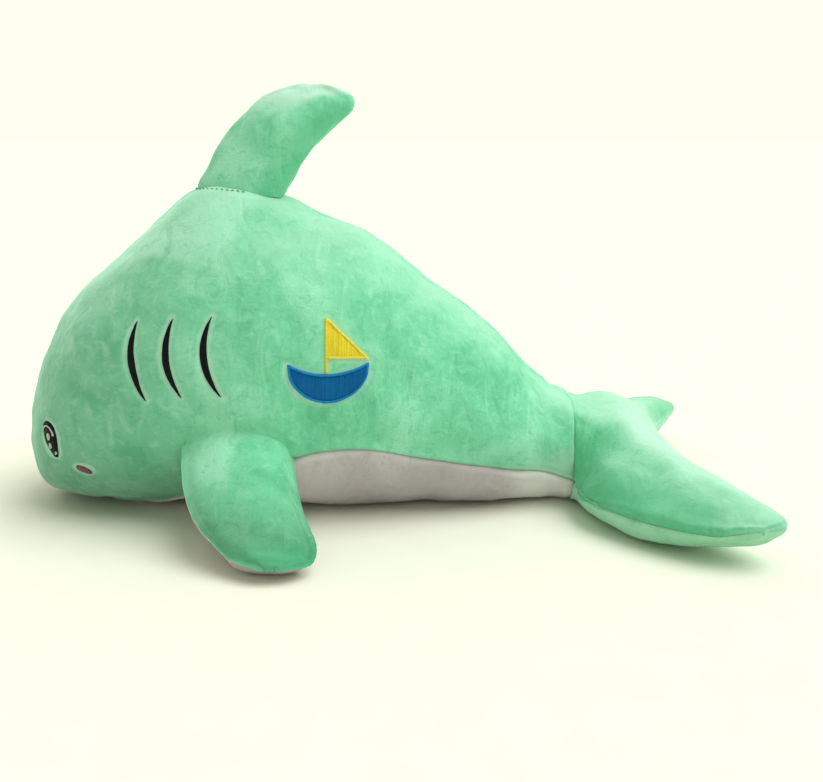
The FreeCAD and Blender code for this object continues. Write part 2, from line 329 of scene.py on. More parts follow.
def belly_seam(stations, centres):
    """Angle from the top, at each station, where the belly panel begins."""
    belly = vertices("belly_panel")
    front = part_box("belly_panel")[0].x + BELLY_START
    fin = pivot_of("left_pectoral_flap")[0]
    known_x, known_angle = [], []
    for x, centre in zip(stations, centres):
        near = belly[np.abs(belly[:, 0] - x) < STATION_HALF]
        if x < front + 2 * MM or abs(x - fin) < PECTORAL_GAP or len(near) < 4:
            continue
        edge = near[np.abs(near[:, 1]).argmax()]
        known_x.append(x)
        known_angle.append(math.atan2(abs(edge[1]), edge[2] - centre))
    angles = np.interp(stations, [front] + known_x, [math.pi] + known_angle)
    angles = soften(angles, 6) - BELLY_LIFT * smoothstep(0.10, TAIL_SEAM_X, stations)
    angles[stations <= front] = math.pi
    return angles


def torso_setup():
    """What torso_surface needs: stations, centre heights, ring coefficients and the belly seam's angles. The
    rings are carried on to the tail's seam, and a rounded cap replaces those before NOSE_CAP."""
    nose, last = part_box("body_cover_left")[0].x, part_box("body_cover_left")[1].x - 3 * MM
    turn = np.linspace(0, math.pi / 2, 26)
    front = nose + 0.3 * MM + FRONT_LENGTH * (1 - np.cos(turn))
    stations = np.concatenate([front, np.linspace(front[-1], last, 60)[1:]])
    centres, rings = fit_torso(stations)
    slope = (rings[-1] - rings[-8]) / (stations[-1] - stations[-8])
    fall = (centres[-1] - centres[-8]) / (stations[-1] - stations[-8])
    extra = TAIL_SEAM_X + 2 * MM
    rings = soften(np.vstack([rings, rings[-1] + slope * (extra - last)]), 2)
    centres = np.append(centres, centres[-1] + fall * (extra - last))
    stations = np.append(stations, extra)
    seams = belly_seam(stations, centres)
    first = np.searchsorted(stations, nose + NOSE_CAP)
    steepness = (rings[first + 1, 0] - rings[first, 0]) / (stations[first + 1] - stations[first])
    depth = min(rings[first, 0] / (2 * steepness), NOSE_CAP + NOSE_SPARE)
    shares = np.linspace(0, 1, 14)[:-1]
    signs = (-1.0) ** np.arange(HARMONICS)
    middle = centres[first] + (rings[first].sum() - (rings[first] * signs).sum()) / 2
    cap_rings = shares[:, None] * rings[first]
    cap_centres = middle + (centres[first] - middle) * shares
    rings = np.vstack([cap_rings, rings[first:]])
    centres = np.concatenate([cap_centres, centres[first:]])
    stations = np.concatenate([stations[first] - depth * (1 - shares ** 2), stations[first:]])
    return stations, centres, rings, np.concatenate([np.full(len(shares), math.pi), seams[first:]])


STATIONS, CENTRES, RINGS, SEAMS = torso_setup()
NOSE_X = STATIONS[0]


def collar(x, y):
    """How far the fabric round the dorsal fin's root is drawn up by it."""
    middle = pivot_of("dorsal_fin_flop")[0]
    reach = ((x - middle) / COLLAR_HALF_LENGTH) ** 2 + (y / COLLAR_HALF_WIDTH) ** 2
    return COLLAR_HEIGHT * np.exp(-(reach ** 2))


def rear_line(x):
    """Change in the height of the back's line near the tail."""
    start, lowest, level = REAR_X
    return REAR_RISE * smoothstep(lowest, level, x) - REAR_DIP * smoothstep(start, lowest, x)


def torso_surface(x, phi):
    """Points on the torso's smooth skin. phi is the angle from the top, positive to the animal's left."""
    centre = np.interp(x, STATIONS, CENTRES)
    radius = np.zeros(np.broadcast(x, phi).shape)
    for k in range(HARMONICS):
        radius = radius + np.interp(x, STATIONS, RINGS[:, k]) * np.cos(k * phi)
    radius = radius + collar(x, -radius * np.sin(phi)) * (np.cos(phi) > 0)
    radius = radius + rear_line(x) * np.maximum(np.cos(phi), 0)
    y = -radius * np.sin(phi)
    z = flatten(centre + radius * np.cos(phi), 2 * MM)
    return np.stack([np.broadcast_to(x, y.shape), y, z], -1)


def seam_angle(x):
    """Angle from the top of the belly panel's left seam."""
    return np.interp(x, STATIONS, SEAMS)


# ---- Fins, as rings of points from root to tip ----
def fin_profile(span, chord, thick, spans):
    """Leading edge, trailing edge and half thickness of a fin at each span."""
    rows = []
    for s in spans:
        near = np.abs(span - s) < 2 * MM
        rows.append((chord[near].min(), chord[near].max(), np.abs(thick[near]).max()))
    return soften(rows, 5)


def fin_rings(names, pivot, outward, normal, tip_lift=0.0, trim=(0.0, 0.0), waist=(0.0, 0.0)):
    """Rings of a fin from its root to its tip. pivot is on its axis, outward its span, normal its thickness.
    tip_lift raises the closing line of the tip towards the normal. trim draws the leading and the trailing
    edge in, most at the root; waist does so between the root and the tip."""
    points = vertices(*names) - pivot
    span, chord, thick = points @ outward, points[:, 0], points @ normal
    first, end = 1 * MM, span.max()
    spans = np.linspace(first, end - 2 * MM, 40)
    profile = fin_profile(span, chord, thick, spans)
    tip = end + 1 * MM
    s = tip - (tip - first) * (1 - np.linspace(0, 1, FIN_ROWS)) ** 1.8
    lead, trail, half = (np.interp(s, spans, profile[:, k]) for k in range(3))
    share = (s - first) / (tip - first)
    above_root = smoothstep(0.1, 0.45, share)
    lead = lead + trim[0] * (1 - smoothstep(0, 0.5, share))
    lead = lead + waist[0] * above_root * (1 - smoothstep(0.72, 0.95, share))
    trail = trail - trim[1] * (1 - smoothstep(0.25, 0.8, share))
    trail = trail - waist[1] * above_root * (1 - smoothstep(0.58, 0.8, share))
    rounding = end - 9 * MM
    closing = np.clip((s - rounding) / (tip - rounding), 0, 1)
    shrink = np.sqrt(np.clip(1 - closing ** 2, 0, 1))
    chord_half = ((trail - lead) / 2 + EDGE_SPARE) * (0.2 + 0.8 * shrink)
    psi = TAU * np.arange(FIN_COLUMNS) / FIN_COLUMNS
    bulge = np.sign(np.sin(psi)) * np.abs(np.sin(psi)) ** 0.92
    x = (lead + trail)[:, None] / 2 + chord_half[:, None] * np.cos(psi)
    n = (half * shrink)[:, None] * bulge + tip_lift * closing[:, None]
    rings = pivot + x[..., None] * np.array([1.0, 0, 0]) + n[..., None] * normal
    return rings + s[:, None, None] * outward


def seat_on_torso(rings, outward):
    """Moves a fin's first rings so that its edge follows the torso, just below its surface."""
    shift = np.zeros((rings.shape[1], 3))
    for j, point in enumerate(rings[0]):
        hit = cast(TORSO_TREE, point + outward * 80 * MM, -outward)
        if hit is not None:
            shift[j] = hit - outward * ROOT_INSET - point
    fade = 1 - smoothstep(0, 0.5, np.linspace(0, 1, rings.shape[0]))
    return rings + fade[:, None, None] * shift[None]


def torso_tree():
    """Ray-casting tree of the smooth torso."""
    x = np.linspace(NOSE_X, TAIL_SEAM_X, 140)
    phi = np.linspace(-math.pi, math.pi, 161)
    grid = torso_surface(x[:, None], phi[None, :])
    return grid_tree(grid)


def grid_tree(grid):
    """Ray-casting tree of a grid of points."""
    rows, columns = grid.shape[:2]
    faces = grid_faces(rows, columns)
    return BVHTree.FromPolygons([Vector(p) for p in grid.reshape(-1, 3)], faces.tolist())


def grid_faces(rows, columns):
    """Corners of the quads of an open grid."""
    corner = np.arange(rows * columns).reshape(rows, columns)
    quads = (corner[:-1, :-1], corner[:-1, 1:], corner[1:, 1:], corner[1:, :-1])
    return np.stack([q.ravel() for q in quads], 1)


TORSO_TREE = torso_tree()


def dorsal_rings():
    """The dorsal fin, upright on the torso."""
    pivot = pivot_of("dorsal_fin_flop")
    outward, normal = np.array([0, 0, 1.0]), np.array([0, -1.0, 0])
    names = ("dorsal_cover_left", "dorsal_cover_right")
    rings = fin_rings(names, pivot, outward, normal, trim=DORSAL_TRIM, waist=DORSAL_WAIST)
    return seat_on_torso(rings, outward)


def pectoral_outward():
    """Direction of the left pectoral fin's span."""
    pivot = pivot_of("left_pectoral_flap")
    points = vertices(*pectoral_covers("left")) - pivot
    reach = np.linalg.norm(points[:, 1:], axis=1)
    outward = points[reach > 0.97 * reach.max()].mean(0) * (0, 1, 1)
    return outward / np.linalg.norm(outward)


def pectoral_rings():
    """The left pectoral fin; the right one is its mirror image."""
    pivot = pivot_of("left_pectoral_flap")
    outward = pectoral_outward()
    normal = np.array([0, outward[2], -outward[1]])
    rings = fin_rings(pectoral_covers("left"), pivot, outward, normal, PECTORAL_TIP_LIFT)
    return seat_on_torso(rings, outward)


# ---- Tail: rings from the torso's rear edge to the lobes' trailing edges ----
def line_lengths(line):
    """Distance travelled along a line, from its start."""
    steps = np.linalg.norm(np.diff(line, axis=0), axis=1)
    return np.concatenate([[0], np.cumsum(steps)])


def interpolate(where, places, line):
    """Points on a line whose own points are at the given places."""
    return np.stack([np.interp(where, places, column) for column in line.T], -1)


def resample(line, count, passes):
    """Evenly spaced points along a line, smoothed."""
    length = line_lengths(line)
    return soften(interpolate(np.linspace(0, length[-1], count), length, line), passes)


def along(line, share):
    """Point at a share of an evenly spaced line."""
    return interpolate(share * (len(line) - 1), np.arange(len(line)), line)


def tail_outline():
    """Half the tail's plan: leading edge from the torso to the tip, trailing edge from the notch to it."""
    points = vertices("tail_upper_cover", "tail_under_cover")
    points = points[points[:, 0] > TAIL_SEAM_X]
    widest = np.abs(points[:, 1]).max()
    ys = np.linspace(1 * MM, widest - 2 * MM, 80)
    lead, trail = [], []
    for y in ys:
        near = points[np.abs(np.abs(points[:, 1]) - y) < 2 * MM]
        lead.append(near[:, 0].min())
        trail.append(near[:, 0].max())
    tip = np.array([(lead[-1] + trail[-1]) / 2 + TIP_REACH, widest + EDGE_SPARE + TIP_REACH])
    half_root = abs(torso_surface(np.array([TAIL_SEAM_X]), np.array([math.pi / 2]))[0, 1])
    wide = ys > half_root + 9 * MM
    leading = np.stack([np.array(lead)[wide], ys[wide]], 1)
    leading[:, 0] -= EDGE_SPARE
    leading = np.vstack([[TAIL_SEAM_X, half_root], leading, tip])
    trailing = np.stack([np.array(trail) + EDGE_SPARE, ys], 1)
    trailing = np.vstack([[trailing[0, 0], 0], trailing, tip])
    return resample(leading, 60, 3), resample(trailing, 60, 2)


def tail_plan(share, v):
    """Plan place: x and distance from the middle, by share of the half width and by v along the tail."""
    leading, trailing = tail_outline()
    root, notch, tip = leading[0], trailing[0], trailing[-1]
    share, v = share[..., None], v[..., None]
    start = np.concatenate([root[0] + 0 * share, root[1] * share], -1)
    middle = np.concatenate([root[0] + (notch[0] - root[0]) * v, 0 * v], -1)
    edges = (1 - v) * start + v * along(trailing, share[..., 0])
    edges = edges + (1 - share) * middle + share * along(leading, v[..., 0])
    corners = (1 - v) * (1 - share) * np.array([root[0], 0]) + (1 - v) * share * root
    return edges - corners - v * (1 - share) * np.array([notch[0], 0]) - v * share * tip


def tail_heights(x, y):
    """Underside and top of the tail's CAD covers at each place; one just outside takes its neighbour's."""
    tree = tree_of("tail_upper_cover", "tail_under_cover")
    rows, columns = x.shape
    heights = np.full((rows, columns, 2), np.nan)
    for i in range(rows):
        for j in range(columns):
            top = cast(tree, (x[i, j], y[i, j], 1), (0, 0, -1))
            low = cast(tree, (x[i, j], y[i, j], -1), (0, 0, 1))
            if top is not None and low is not None:
                heights[i, j] = (low[2], top[2])
    place = np.arange(columns)
    for i in range(rows):
        for k in range(2):
            known = ~np.isnan(heights[i, :, k])
            if known.any():
                heights[i, :, k] = np.interp(place, place[known], heights[i, known, k])
            else:
                heights[i, :, k] = heights[i - 1].mean(-1)
    return heights


def smooth_rings(rings, passes, hold=True):
    """Averages neighbouring points, leaving the first ring where it is unless hold is False."""
    for _ in range(passes):
        across = (np.roll(rings, 1, 1) + 2 * rings + np.roll(rings, -1, 1)) / 4
        smoothed = across.copy()
        smoothed[1:-1] = (across[:-2] + 2 * across[1:-1] + across[2:]) / 4
        if hold:
            smoothed[0] = rings[0]
        rings = smoothed
    return rings


def tail_rings():
    """Each ring goes over the top from the left edge to the right one and back underneath."""
    half = TAIL_COLUMNS // 2
    v = 1 - (1 - np.linspace(0, 1, TAIL_ROWS)) ** 1.7
    t = -np.cos(math.pi * np.arange(half + 1) / half)
    share, vv = np.broadcast_arrays(np.abs(t)[None, :], v[:, None])
    plan = tail_plan(share, vv)
    inset = tail_plan(share * TAIL_INSET[0], vv * TAIL_INSET[1])
    y_sign = np.where(t < 0, -1, 1)[None, :]
    heights = tail_heights(inset[..., 0], inset[..., 1] * y_sign)
    closing = np.clip((v - 0.9) / 0.1, 0, 1)[:, None]
    lens = np.minimum(1, 5 * np.sqrt(1 - t ** 2))[None, :] * np.sqrt(1 - closing ** 2)
    edge = LOBE_EDGE_Z + 8 * MM * smoothstep(0.8, 1, vv)
    leading = np.column_stack([tail_outline()[0], np.zeros(60)])
    inwards = distance_to(np.dstack([plan, 0 * share]), leading)
    depth = 0.30 + 0.35 * smoothstep(0.15, 0.5, vv)
    dome = 1 - smoothstep(0.3, 0.6, share) * depth * (1 - np.minimum(inwards / LOBE_SLOPE, 1) ** 0.8)
    armpit = (((plan - ARMPIT) / ARMPIT_REACH) ** 2).sum(-1)
    hump = (((plan - (HUMP_X, 0)) / HUMP_REACH) ** 2).sum(-1)
    heights[..., 1] += ARMPIT_FILL * np.exp(-armpit) - HUMP_DROP * np.exp(-hump)
    full = 1 - 0.6 * smoothstep(0.7, 0.95, share) * (1 - smoothstep(0.45, 0.8, vv))
    sagged = heights[..., 0] * full * (0.3 + 0.7 * smoothstep(0.2, 0.8, vv))
    lifted = sagged + 5 * MM * smoothstep(0.45, 0.8, vv) * smoothstep(0.4, 0.8, share)
    x, y = plan[..., 0], plan[..., 1] * y_sign
    top = np.stack([x, y, edge + (heights[..., 1] - edge) * dome * lens], -1)
    low = np.stack([x, y, edge + (np.minimum(lifted, edge) - edge) * lens], -1)
    rings = np.concatenate([top[:, :-1], low[:, :0:-1]], 1)
    return join_tail_to_torso(smooth_rings(rings, 6))


def join_tail_to_torso(rings):
    """Lays the first ring on the torso's rear edge and fades the shift out along the tail."""
    half = TAIL_COLUMNS // 2
    side = seam_angle(TAIL_SEAM_X)
    over = np.linspace(side, -side, half + 1)
    under = np.linspace(-side, side - TAU, half + 1)
    phi = np.concatenate([over[:-1], under[:-1]])
    shift = torso_surface(np.full(TAIL_COLUMNS, TAIL_SEAM_X), phi) - (SEAM_OVERLAP, 0, 0) - rings[0]
    fade = 1 - smoothstep(0, 0.45, np.linspace(0, 1, TAIL_ROWS))
    return rings + fade[:, None, None] * shift[None]


# ---- Panels of fabric ----
def graded(length, step=2.6 * MM, fine=0.8 * MM, reach=7 * MM):
    """Places from 0 to 1 along a length: finely spaced near both ends, coarser between."""
    s = np.linspace(0, length, 2000)
    edge = np.minimum(s, length - s)
    gap = fine + (step - fine) * smoothstep(0, reach, edge)
    count = np.concatenate([[0], np.cumsum(np.diff(s) / gap[:-1])])
    total = max(int(round(count[-1])), 4)
    return np.interp(np.linspace(0, count[-1], total + 1), count, s) / length


def arc_lengths(points, axis):
    """Distance travelled along a grid's rows or columns, from its start."""
    steps = np.linalg.norm(np.diff(points, axis=axis), axis=2)
    start = np.zeros_like(np.take(steps, [0], axis=axis))
    return np.concatenate([start, np.cumsum(steps, axis=axis)], axis=axis)


def edge_distances(points, seams):
    """Distance of each grid point to the nearest sewn edge and its place along that edge."""
    rows = arc_lengths(points, 0)
    columns = arc_lengths(points, 1)
    choices = {
        "first_row": (rows, columns),
        "last_row": (rows[-1:] - rows, columns),
        "first_column": (columns, rows),
        "last_column": (columns[:, -1:] - columns, rows),
    }
    nearest = np.full(points.shape[:2], 1.0)
    place = np.zeros(points.shape[:2])
    for name in seams:
        distance, position = choices[name]
        closer = distance < nearest
        nearest = np.where(closer, distance, nearest)
        place = np.where(closer, position, place)
    return nearest, place


def seam_profile(distance, place, seed):
    """Height change near a sewn edge: a rounded dive, a puffed welt beside it and stitch puckers."""
    closeness = np.clip(1 - distance / SEAM_WIDTH, 0, 1)
    dive = -SEAM_DEPTH * (1 - np.sqrt(1 - closeness ** 2))
    puff, middle, reach = WELT
    welt = puff * np.exp(-((distance - middle) / reach) ** 2)
    stitch = 0.22 * MM * np.cos(TAU * place / STITCH_PITCH) * np.exp(-(distance / (3 * MM)) ** 2)
    wander = np.sin(place / (7.3 * MM) + seed) + np.sin(place / (11.9 * MM) + 2 * seed)
    wander = wander + 0.8 * np.sin(place / (4.4 * MM) + 3 * seed + distance * 60)
    pucker = PUCKER * wander / 2.8 * np.exp(-distance / (13 * MM)) * smoothstep(0, 4 * MM, distance)
    return dive + welt + stitch + pucker


def lumps(points, seed):
    """Uneven filling felt through the fabric."""
    return sum(height * rough(points, size, seed + shift) for height, size, shift in LUMPS)


# ---- Cloth: how a stuffed cover wrinkles between its seams ----
def tube_faces(rows, columns):
    """Numbers of a tube's points, and the quads between its rings."""
    corner = np.arange(rows * columns).reshape(rows, columns)
    turned = np.roll(corner, -1, 1)
    quads = (corner[:-1], turned[:-1], turned[1:], corner[1:])
    return corner, np.stack([q.ravel() for q in quads], 1).tolist()


def coarse_mesh(name, grid):
    """Closed tube of a grid whose columns form a ring, with both ends capped."""
    rows, columns = grid.shape[:2]
    corner, faces = tube_faces(rows, columns)
    ends = [grid[0].mean(0), grid[-1].mean(0)]
    for ring, tip in ((corner[0][::-1], rows * columns), (corner[-1], rows * columns + 1)):
        faces += [[int(a), int(b), tip] for a, b in zip(ring, np.roll(ring, -1))]
    return mesh_object(name, np.vstack([grid.reshape(-1, 3), ends]), faces)


def run_cloth(made, gathered):
    """Blows a tube up, with its gathered points shrunk, and returns where its points end."""
    group = made.vertex_groups.new(name="gathered")
    for index, weight in enumerate(gathered):
        group.add([index], float(weight), "REPLACE")
    cloth = made.modifiers.new("cloth", "CLOTH")
    cloth.settings.vertex_group_shrink = "gathered"
    for key, value in CLOTH.items():
        setattr(cloth.settings, key, value)
    cloth.settings.effector_weights.gravity = 0
    scene = bpy.context.scene
    for number in range(1, CLOTH_FRAMES + 1):
        scene.frame_set(number)
    solved = made.evaluated_get(bpy.context.evaluated_depsgraph_get())
    ends = np.zeros(len(solved.data.vertices) * 3, np.float32)
    solved.data.vertices.foreach_get("co", ends)
    scene.frame_set(1)
    bpy.data.objects.remove(made)
    return ends.reshape(-1, 3).astype(float)


def ring_places(first, last, rows, columns):
    """Grid of v and turn for whole rings."""
    return np.meshgrid(np.linspace(first, last, rows), np.arange(columns) / columns, indexing="ij")


def wrinkles(name, surface, rows, columns, gathers):
    """Wrinkle movements of a stuffed form, as a grid. gathers(v, turn) is 1 where its fabric is sewn."""
    v, turn = ring_places(0.02, 0.98, rows, columns)
    grid = surface(v, turn)
    grid = grid + 0.5 * MM * rough(grid, 18 * MM, 3)[..., None] * grid_normals(grid, True)
    weights = np.append(gathers(v, turn).ravel(), [1, 1])
    ends = run_cloth(coarse_mesh(name, grid), weights)[:-2].reshape(grid.shape)
    moved = ends - grid
    fine = WRINKLE_SHARE * smooth_rings(moved - smooth_rings(moved, 10, hold=False), 1)
    length = np.linalg.norm(fine, axis=2, keepdims=True)
    return fine * np.minimum(1, WRINKLE_CAP / np.maximum(length, 1e-9))


# ---- Meshes and attributes ----
def grid_object(name, points, outside):
    """Mesh of an open grid of points, its faces turned outwards."""
    faces = grid_faces(*points.shape[:2])
    if outside < 0:
        faces = faces[:, ::-1]
    return mesh_object(name, points.reshape(-1, 3), faces.tolist())


def scene_object(name, data):
    """A new object in the scene."""
    made = bpy.data.objects.new(name, data)
    bpy.context.scene.collection.objects.link(made)
    return made


def mesh_object(name, points, faces):
    """A new smooth-shaded mesh."""
    mesh = bpy.data.meshes.new(name)
    mesh.from_pydata(np.asarray(points).tolist(), [], faces)
    mesh.polygons.foreach_set("use_smooth", [True] * len(mesh.polygons))
    mesh.update()
    return scene_object(name, mesh)


def set_attribute(made, name, values):
    """One number for each point, for the material to read."""
    layer = made.data.attributes.new(name, "FLOAT", "POINT")
    layer.data.foreach_set("value", np.asarray(values, np.float32).ravel())


def finish_piece(made, nodes, look, body):
    """Gives a piece the material of its look, the CAD nodes it stands for and, where it has one, its body.
    """
    slot, material = look
    made.data.materials.append(material)
    if nodes:
        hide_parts(*nodes)
    if body:
        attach(made, body)


def finish_padded(piece, node, look, hinge=None):
    """Finishes a stuffed piece. hinge: a body and the two ends of a bend; only whether it is given is read,
    and such a piece is left on no body with its transform baked in.
    """
    finish_piece(piece, [node], look, None if hinge else "torso")
    if hinge:
        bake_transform(piece)


# ---- Covers ----
def form_normals(surface, v, turn, outside):
    """Outward normals of a whole form. Panels on both sides of a seam dive along the same line."""
    ahead, behind = np.minimum(v + NORMAL_STEP, 1), np.maximum(v - NORMAL_STEP, 0)
    along_form = surface(ahead, turn) - surface(behind, turn)
    around = surface(v, turn + NORMAL_STEP) - surface(v, turn - NORMAL_STEP)
    return unit(np.cross(along_form, around) * outside)


def cover_grid(surface, v, turn, moves, seams, outside, seed, dents):
    """Final points of one sewn panel, with its distance to the seams and to what presses into it."""
    base = surface(v, turn)
    normal = form_normals(surface, v, turn, outside)
    distance, place = edge_distances(base, seams)
    calm = smoothstep(0, 9 * MM, distance)
    height = lumps(base, seed) * calm + seam_profile(distance, place, seed)
    parting = np.zeros(v.shape)
    for targets, depth, reach, parted in dents:
        closeness = np.exp(-((distance_to(base, targets) / reach) ** 2))
        height -= depth * closeness
        parting = np.maximum(parting, parted * closeness)
    loose = calm * smoothstep(0, 0.12, v) * (1 - 0.8 * smoothstep(0.75, 0.95, v))
    points = base + normal * height[..., None] + sample_lattice(moves, v, turn) * loose[..., None]
    points[..., 2] = flatten(points[..., 2], FLOOR_ROUNDING)
    return points, distance, parting


def make_cover(name, points, distance, parting, outside, shade=0.0):
    """shade runs from -1, painted shade in the deep brushed-down green, to 1, painted light in the pale
    tint. The welt beside a seam gets a little painted light, paler than the rest."""
    made = grid_object(name, points, outside)
    shade = shade + 0.2 * np.exp(-(((distance - 3.4 * MM) / (1.8 * MM)) ** 2))
    set_attribute(made, "seam", np.exp(-distance / (3.5 * MM)))
    set_attribute(made, "parting", parting)
    set_attribute(made, "shade", np.broadcast_to(shade, parting.shape))
    return made


def torso_shade(points):
    """Painted light: paler low down beside the tail, lifting the painted shade near the floor there."""
    low = 1 - smoothstep(40 * MM, 65 * MM, points[..., 2])
    return 0.45 * smoothstep(0.10, 0.15, points[..., 0]) * low


def dorsal_shade(v, turn):
    """Painted light over the tip, painted shade in deep green along the rear edge."""
    rear = np.cos(TAU * turn)
    pale = 0.9 * smoothstep(0.35, 0.8, v) * (1 - smoothstep(-0.3, 0.5, rear))
    pale = pale + 0.8 * smoothstep(0.62, 0.85, v)
    return np.minimum(pale, 0.9) - 0.5 * smoothstep(0.0, 0.6, rear) * (1 - smoothstep(0.6, 0.8, v))


def pectoral_shade(v, turn):
    """Painted shade: deeper green towards the tip."""
    return -0.6 * smoothstep(0.45, 0.8, v) + 0 * turn


def tail_shade(v, turn):
    """Painted light towards the trailing edge, painted shade in deep green along the lobes' leading edges
    near the torso and over the right lobe's tip."""
    rightwards = -np.cos(TAU * turn)
    leading = smoothstep(0.35, 0.95, np.abs(rightwards))
    pale = 0.8 * smoothstep(0.35, 0.95, v) * (1 - 0.8 * leading)
    pale = pale + 0.55 * smoothstep(0.1, 0.5, v) * (1 - leading)
    right_tip = smoothstep(0.25, 0.8, rightwards) * smoothstep(0.2, 0.8, v)
    return np.minimum(pale, 0.45) - 0.6 * leading * (1 - smoothstep(0.3, 0.8, v)) - 0.7 * right_tip


def plain_shade(v, turn):
    """The same all over."""
    return 0 * v * turn


def belly_shade(x):
    """Brighter at both ends than in the middle, where it lies in the body's own shade."""
    ends = 0.9 * smoothstep(0.08, 0.15, x) + 0.5 * (1 - smoothstep(-0.07, 0.0, x))
    return ends - 0.5 * np.exp(-(((x - 0.05) / 0.04) ** 2))


def torso_profile():
    """Length along the torso's top, for spacing its rows evenly over the nose."""
    x = np.concatenate([STATIONS[:-1], [TAIL_SEAM_X + 0.5 * MM]])
    line = torso_surface(x, np.zeros(len(x)))
    return x, line_lengths(line)


PROFILE_X, PROFILE_LENGTH = torso_profile()


def row_x(v):
    """Place along x at a share of the torso's profile."""
    return np.interp(v * PROFILE_LENGTH[-1], PROFILE_LENGTH, PROFILE_X)


def seam_turn(v):
    """Turn of the belly panel's left seam at a share of the torso's profile."""
    return seam_angle(row_x(v)) / TAU


def torso_by_share(v, turn):
    """Torso surface by share of its profile and by turn round it, 0 at the top and positive to the left."""
    return torso_surface(row_x(v), TAU * turn)


def torso_columns(v, first, last, shares):
    """Turns of a torso panel between two edges: 0 is the top, 1 and -1 the belly's seams, 2 is -1 again."""
    seam = seam_turn(v)
    edge = {0: 0 * seam, 1: seam, -1: -seam, 2: 1 - seam}
    return edge[first][:, None] * (1 - shares) + edge[last][:, None] * shares


def torso_gathers(v, turn):
    """Sewn lines of the torso: the back, both belly seams and the tail's edge."""
    seam = seam_turn(v)
    side = np.minimum(turn, 1 - turn)
    lines = np.exp(-((side - seam) / 0.012) ** 2) + 0.4 * np.exp(-(side / 0.012) ** 2)
    return np.clip(lines + smoothstep(0.95, 0.98, v), 0, 1)


def fin_gathers(v, turn):
    """Sewn lines of a fin: its root, its tip and its two edges."""
    edge = np.minimum(np.abs((turn + 0.25) % 0.5 - 0.25), 1)
    lines = np.exp(-((edge / 0.03) ** 2)) + np.exp(-((v / 0.05) ** 2))
    return np.clip(lines + smoothstep(0.93, 0.98, v), 0, 1)


def ring_surface(rings, side=1):
    """Surface function of a fin's rings; side -1 mirrors it to the animal's right."""
    flip = np.array([1, side, 1])
    return lambda v, turn: sample_lattice(rings, v, turn) * flip


def fin_panel(rings, first_turn, last_turn):
    """Grid places of a fin's panel between two turns of its rings."""
    span = np.linalg.norm(rings[-1].mean(0) - rings[0].mean(0))
    around = np.linalg.norm(np.diff(rings[5], axis=0), axis=1).sum()
    v = graded(span)
    shares = graded(around * abs(last_turn - first_turn))
    return np.meshgrid(v, first_turn + (last_turn - first_turn) * shares, indexing="ij")


# ---- Embroidery ----
def loose_parts(node):
    """Points and edges of each separate solid of a CAD node, from the nose backwards."""
    mesh = NODES[node].data
    co = vertices(node)
    _, same = np.unique(co.round(6), axis=0, return_inverse=True)
    same = same.ravel()
    edges = np.array([e.vertices[:] for e in mesh.edges])
    label = np.arange(same.max() + 1)
    ends = same[edges]
    while True:
        low = np.minimum(label[ends[:, 0]], label[ends[:, 1]])
        before = label.copy()
        np.minimum.at(label, ends[:, 0], low)
        np.minimum.at(label, ends[:, 1], low)
        if (before == label).all():
            break
    parts = []
    for value in np.unique(label):
        chosen = edges[label[ends[:, 0]] == value]
        parts.append((co[chosen[:, 0]], co[chosen[:, 1]]))
    return sorted(parts, key=lambda part: part[0][:, 0].mean())


def outline(part, long_way, wide_way, count=60):
    """A solid's extent: places along its long direction, with its lowest and highest reach across."""
    a0, a1 = part[0] @ long_way, part[1] @ long_way
    b0, b1 = part[0] @ wide_way, part[1] @ wide_way
    first, last = min(a0.min(), a1.min()), max(a0.max(), a1.max())
    places = np.linspace(first + 0.01 * MM, last - 0.01 * MM, count)
    low, high = [], []
    for place in places:
        crossing = (a0 - place) * (a1 - place) < 0
        share = (place - a0[crossing]) / (a1[crossing] - a0[crossing])
        across = b0[crossing] + share * (b1[crossing] - b0[crossing])
        low.append(across.min())
        high.append(across.max())
    return places, np.array(low), np.array(high)


class Face:
    """A direction from which embroidery is laid on a cover: along goes towards the tail, up is up. turn is
    how far it faces the nose, in degrees, and side the y direction that it looks out to."""

    def __init__(self, tree, turn, side):
        angle = math.radians(turn)
        self.tree = tree
        self.along = np.array([math.cos(angle), side * math.sin(angle), 0])
        self.up = np.array([0, 0, 1.0])
        self.inward = np.array([math.sin(angle), -side * math.cos(angle), 0])

    def points(self, a, b):
        """Places on the cover under the flat coordinates a and b."""
        flat = a[..., None] * self.along + b[..., None] * self.up
        found = flat.copy()
        for index in np.ndindex(a.shape):
            hit = cast(self.tree, flat[index] - self.inward * 0.5, self.inward)
            found[index] = flat[index] if hit is None else hit
        return found


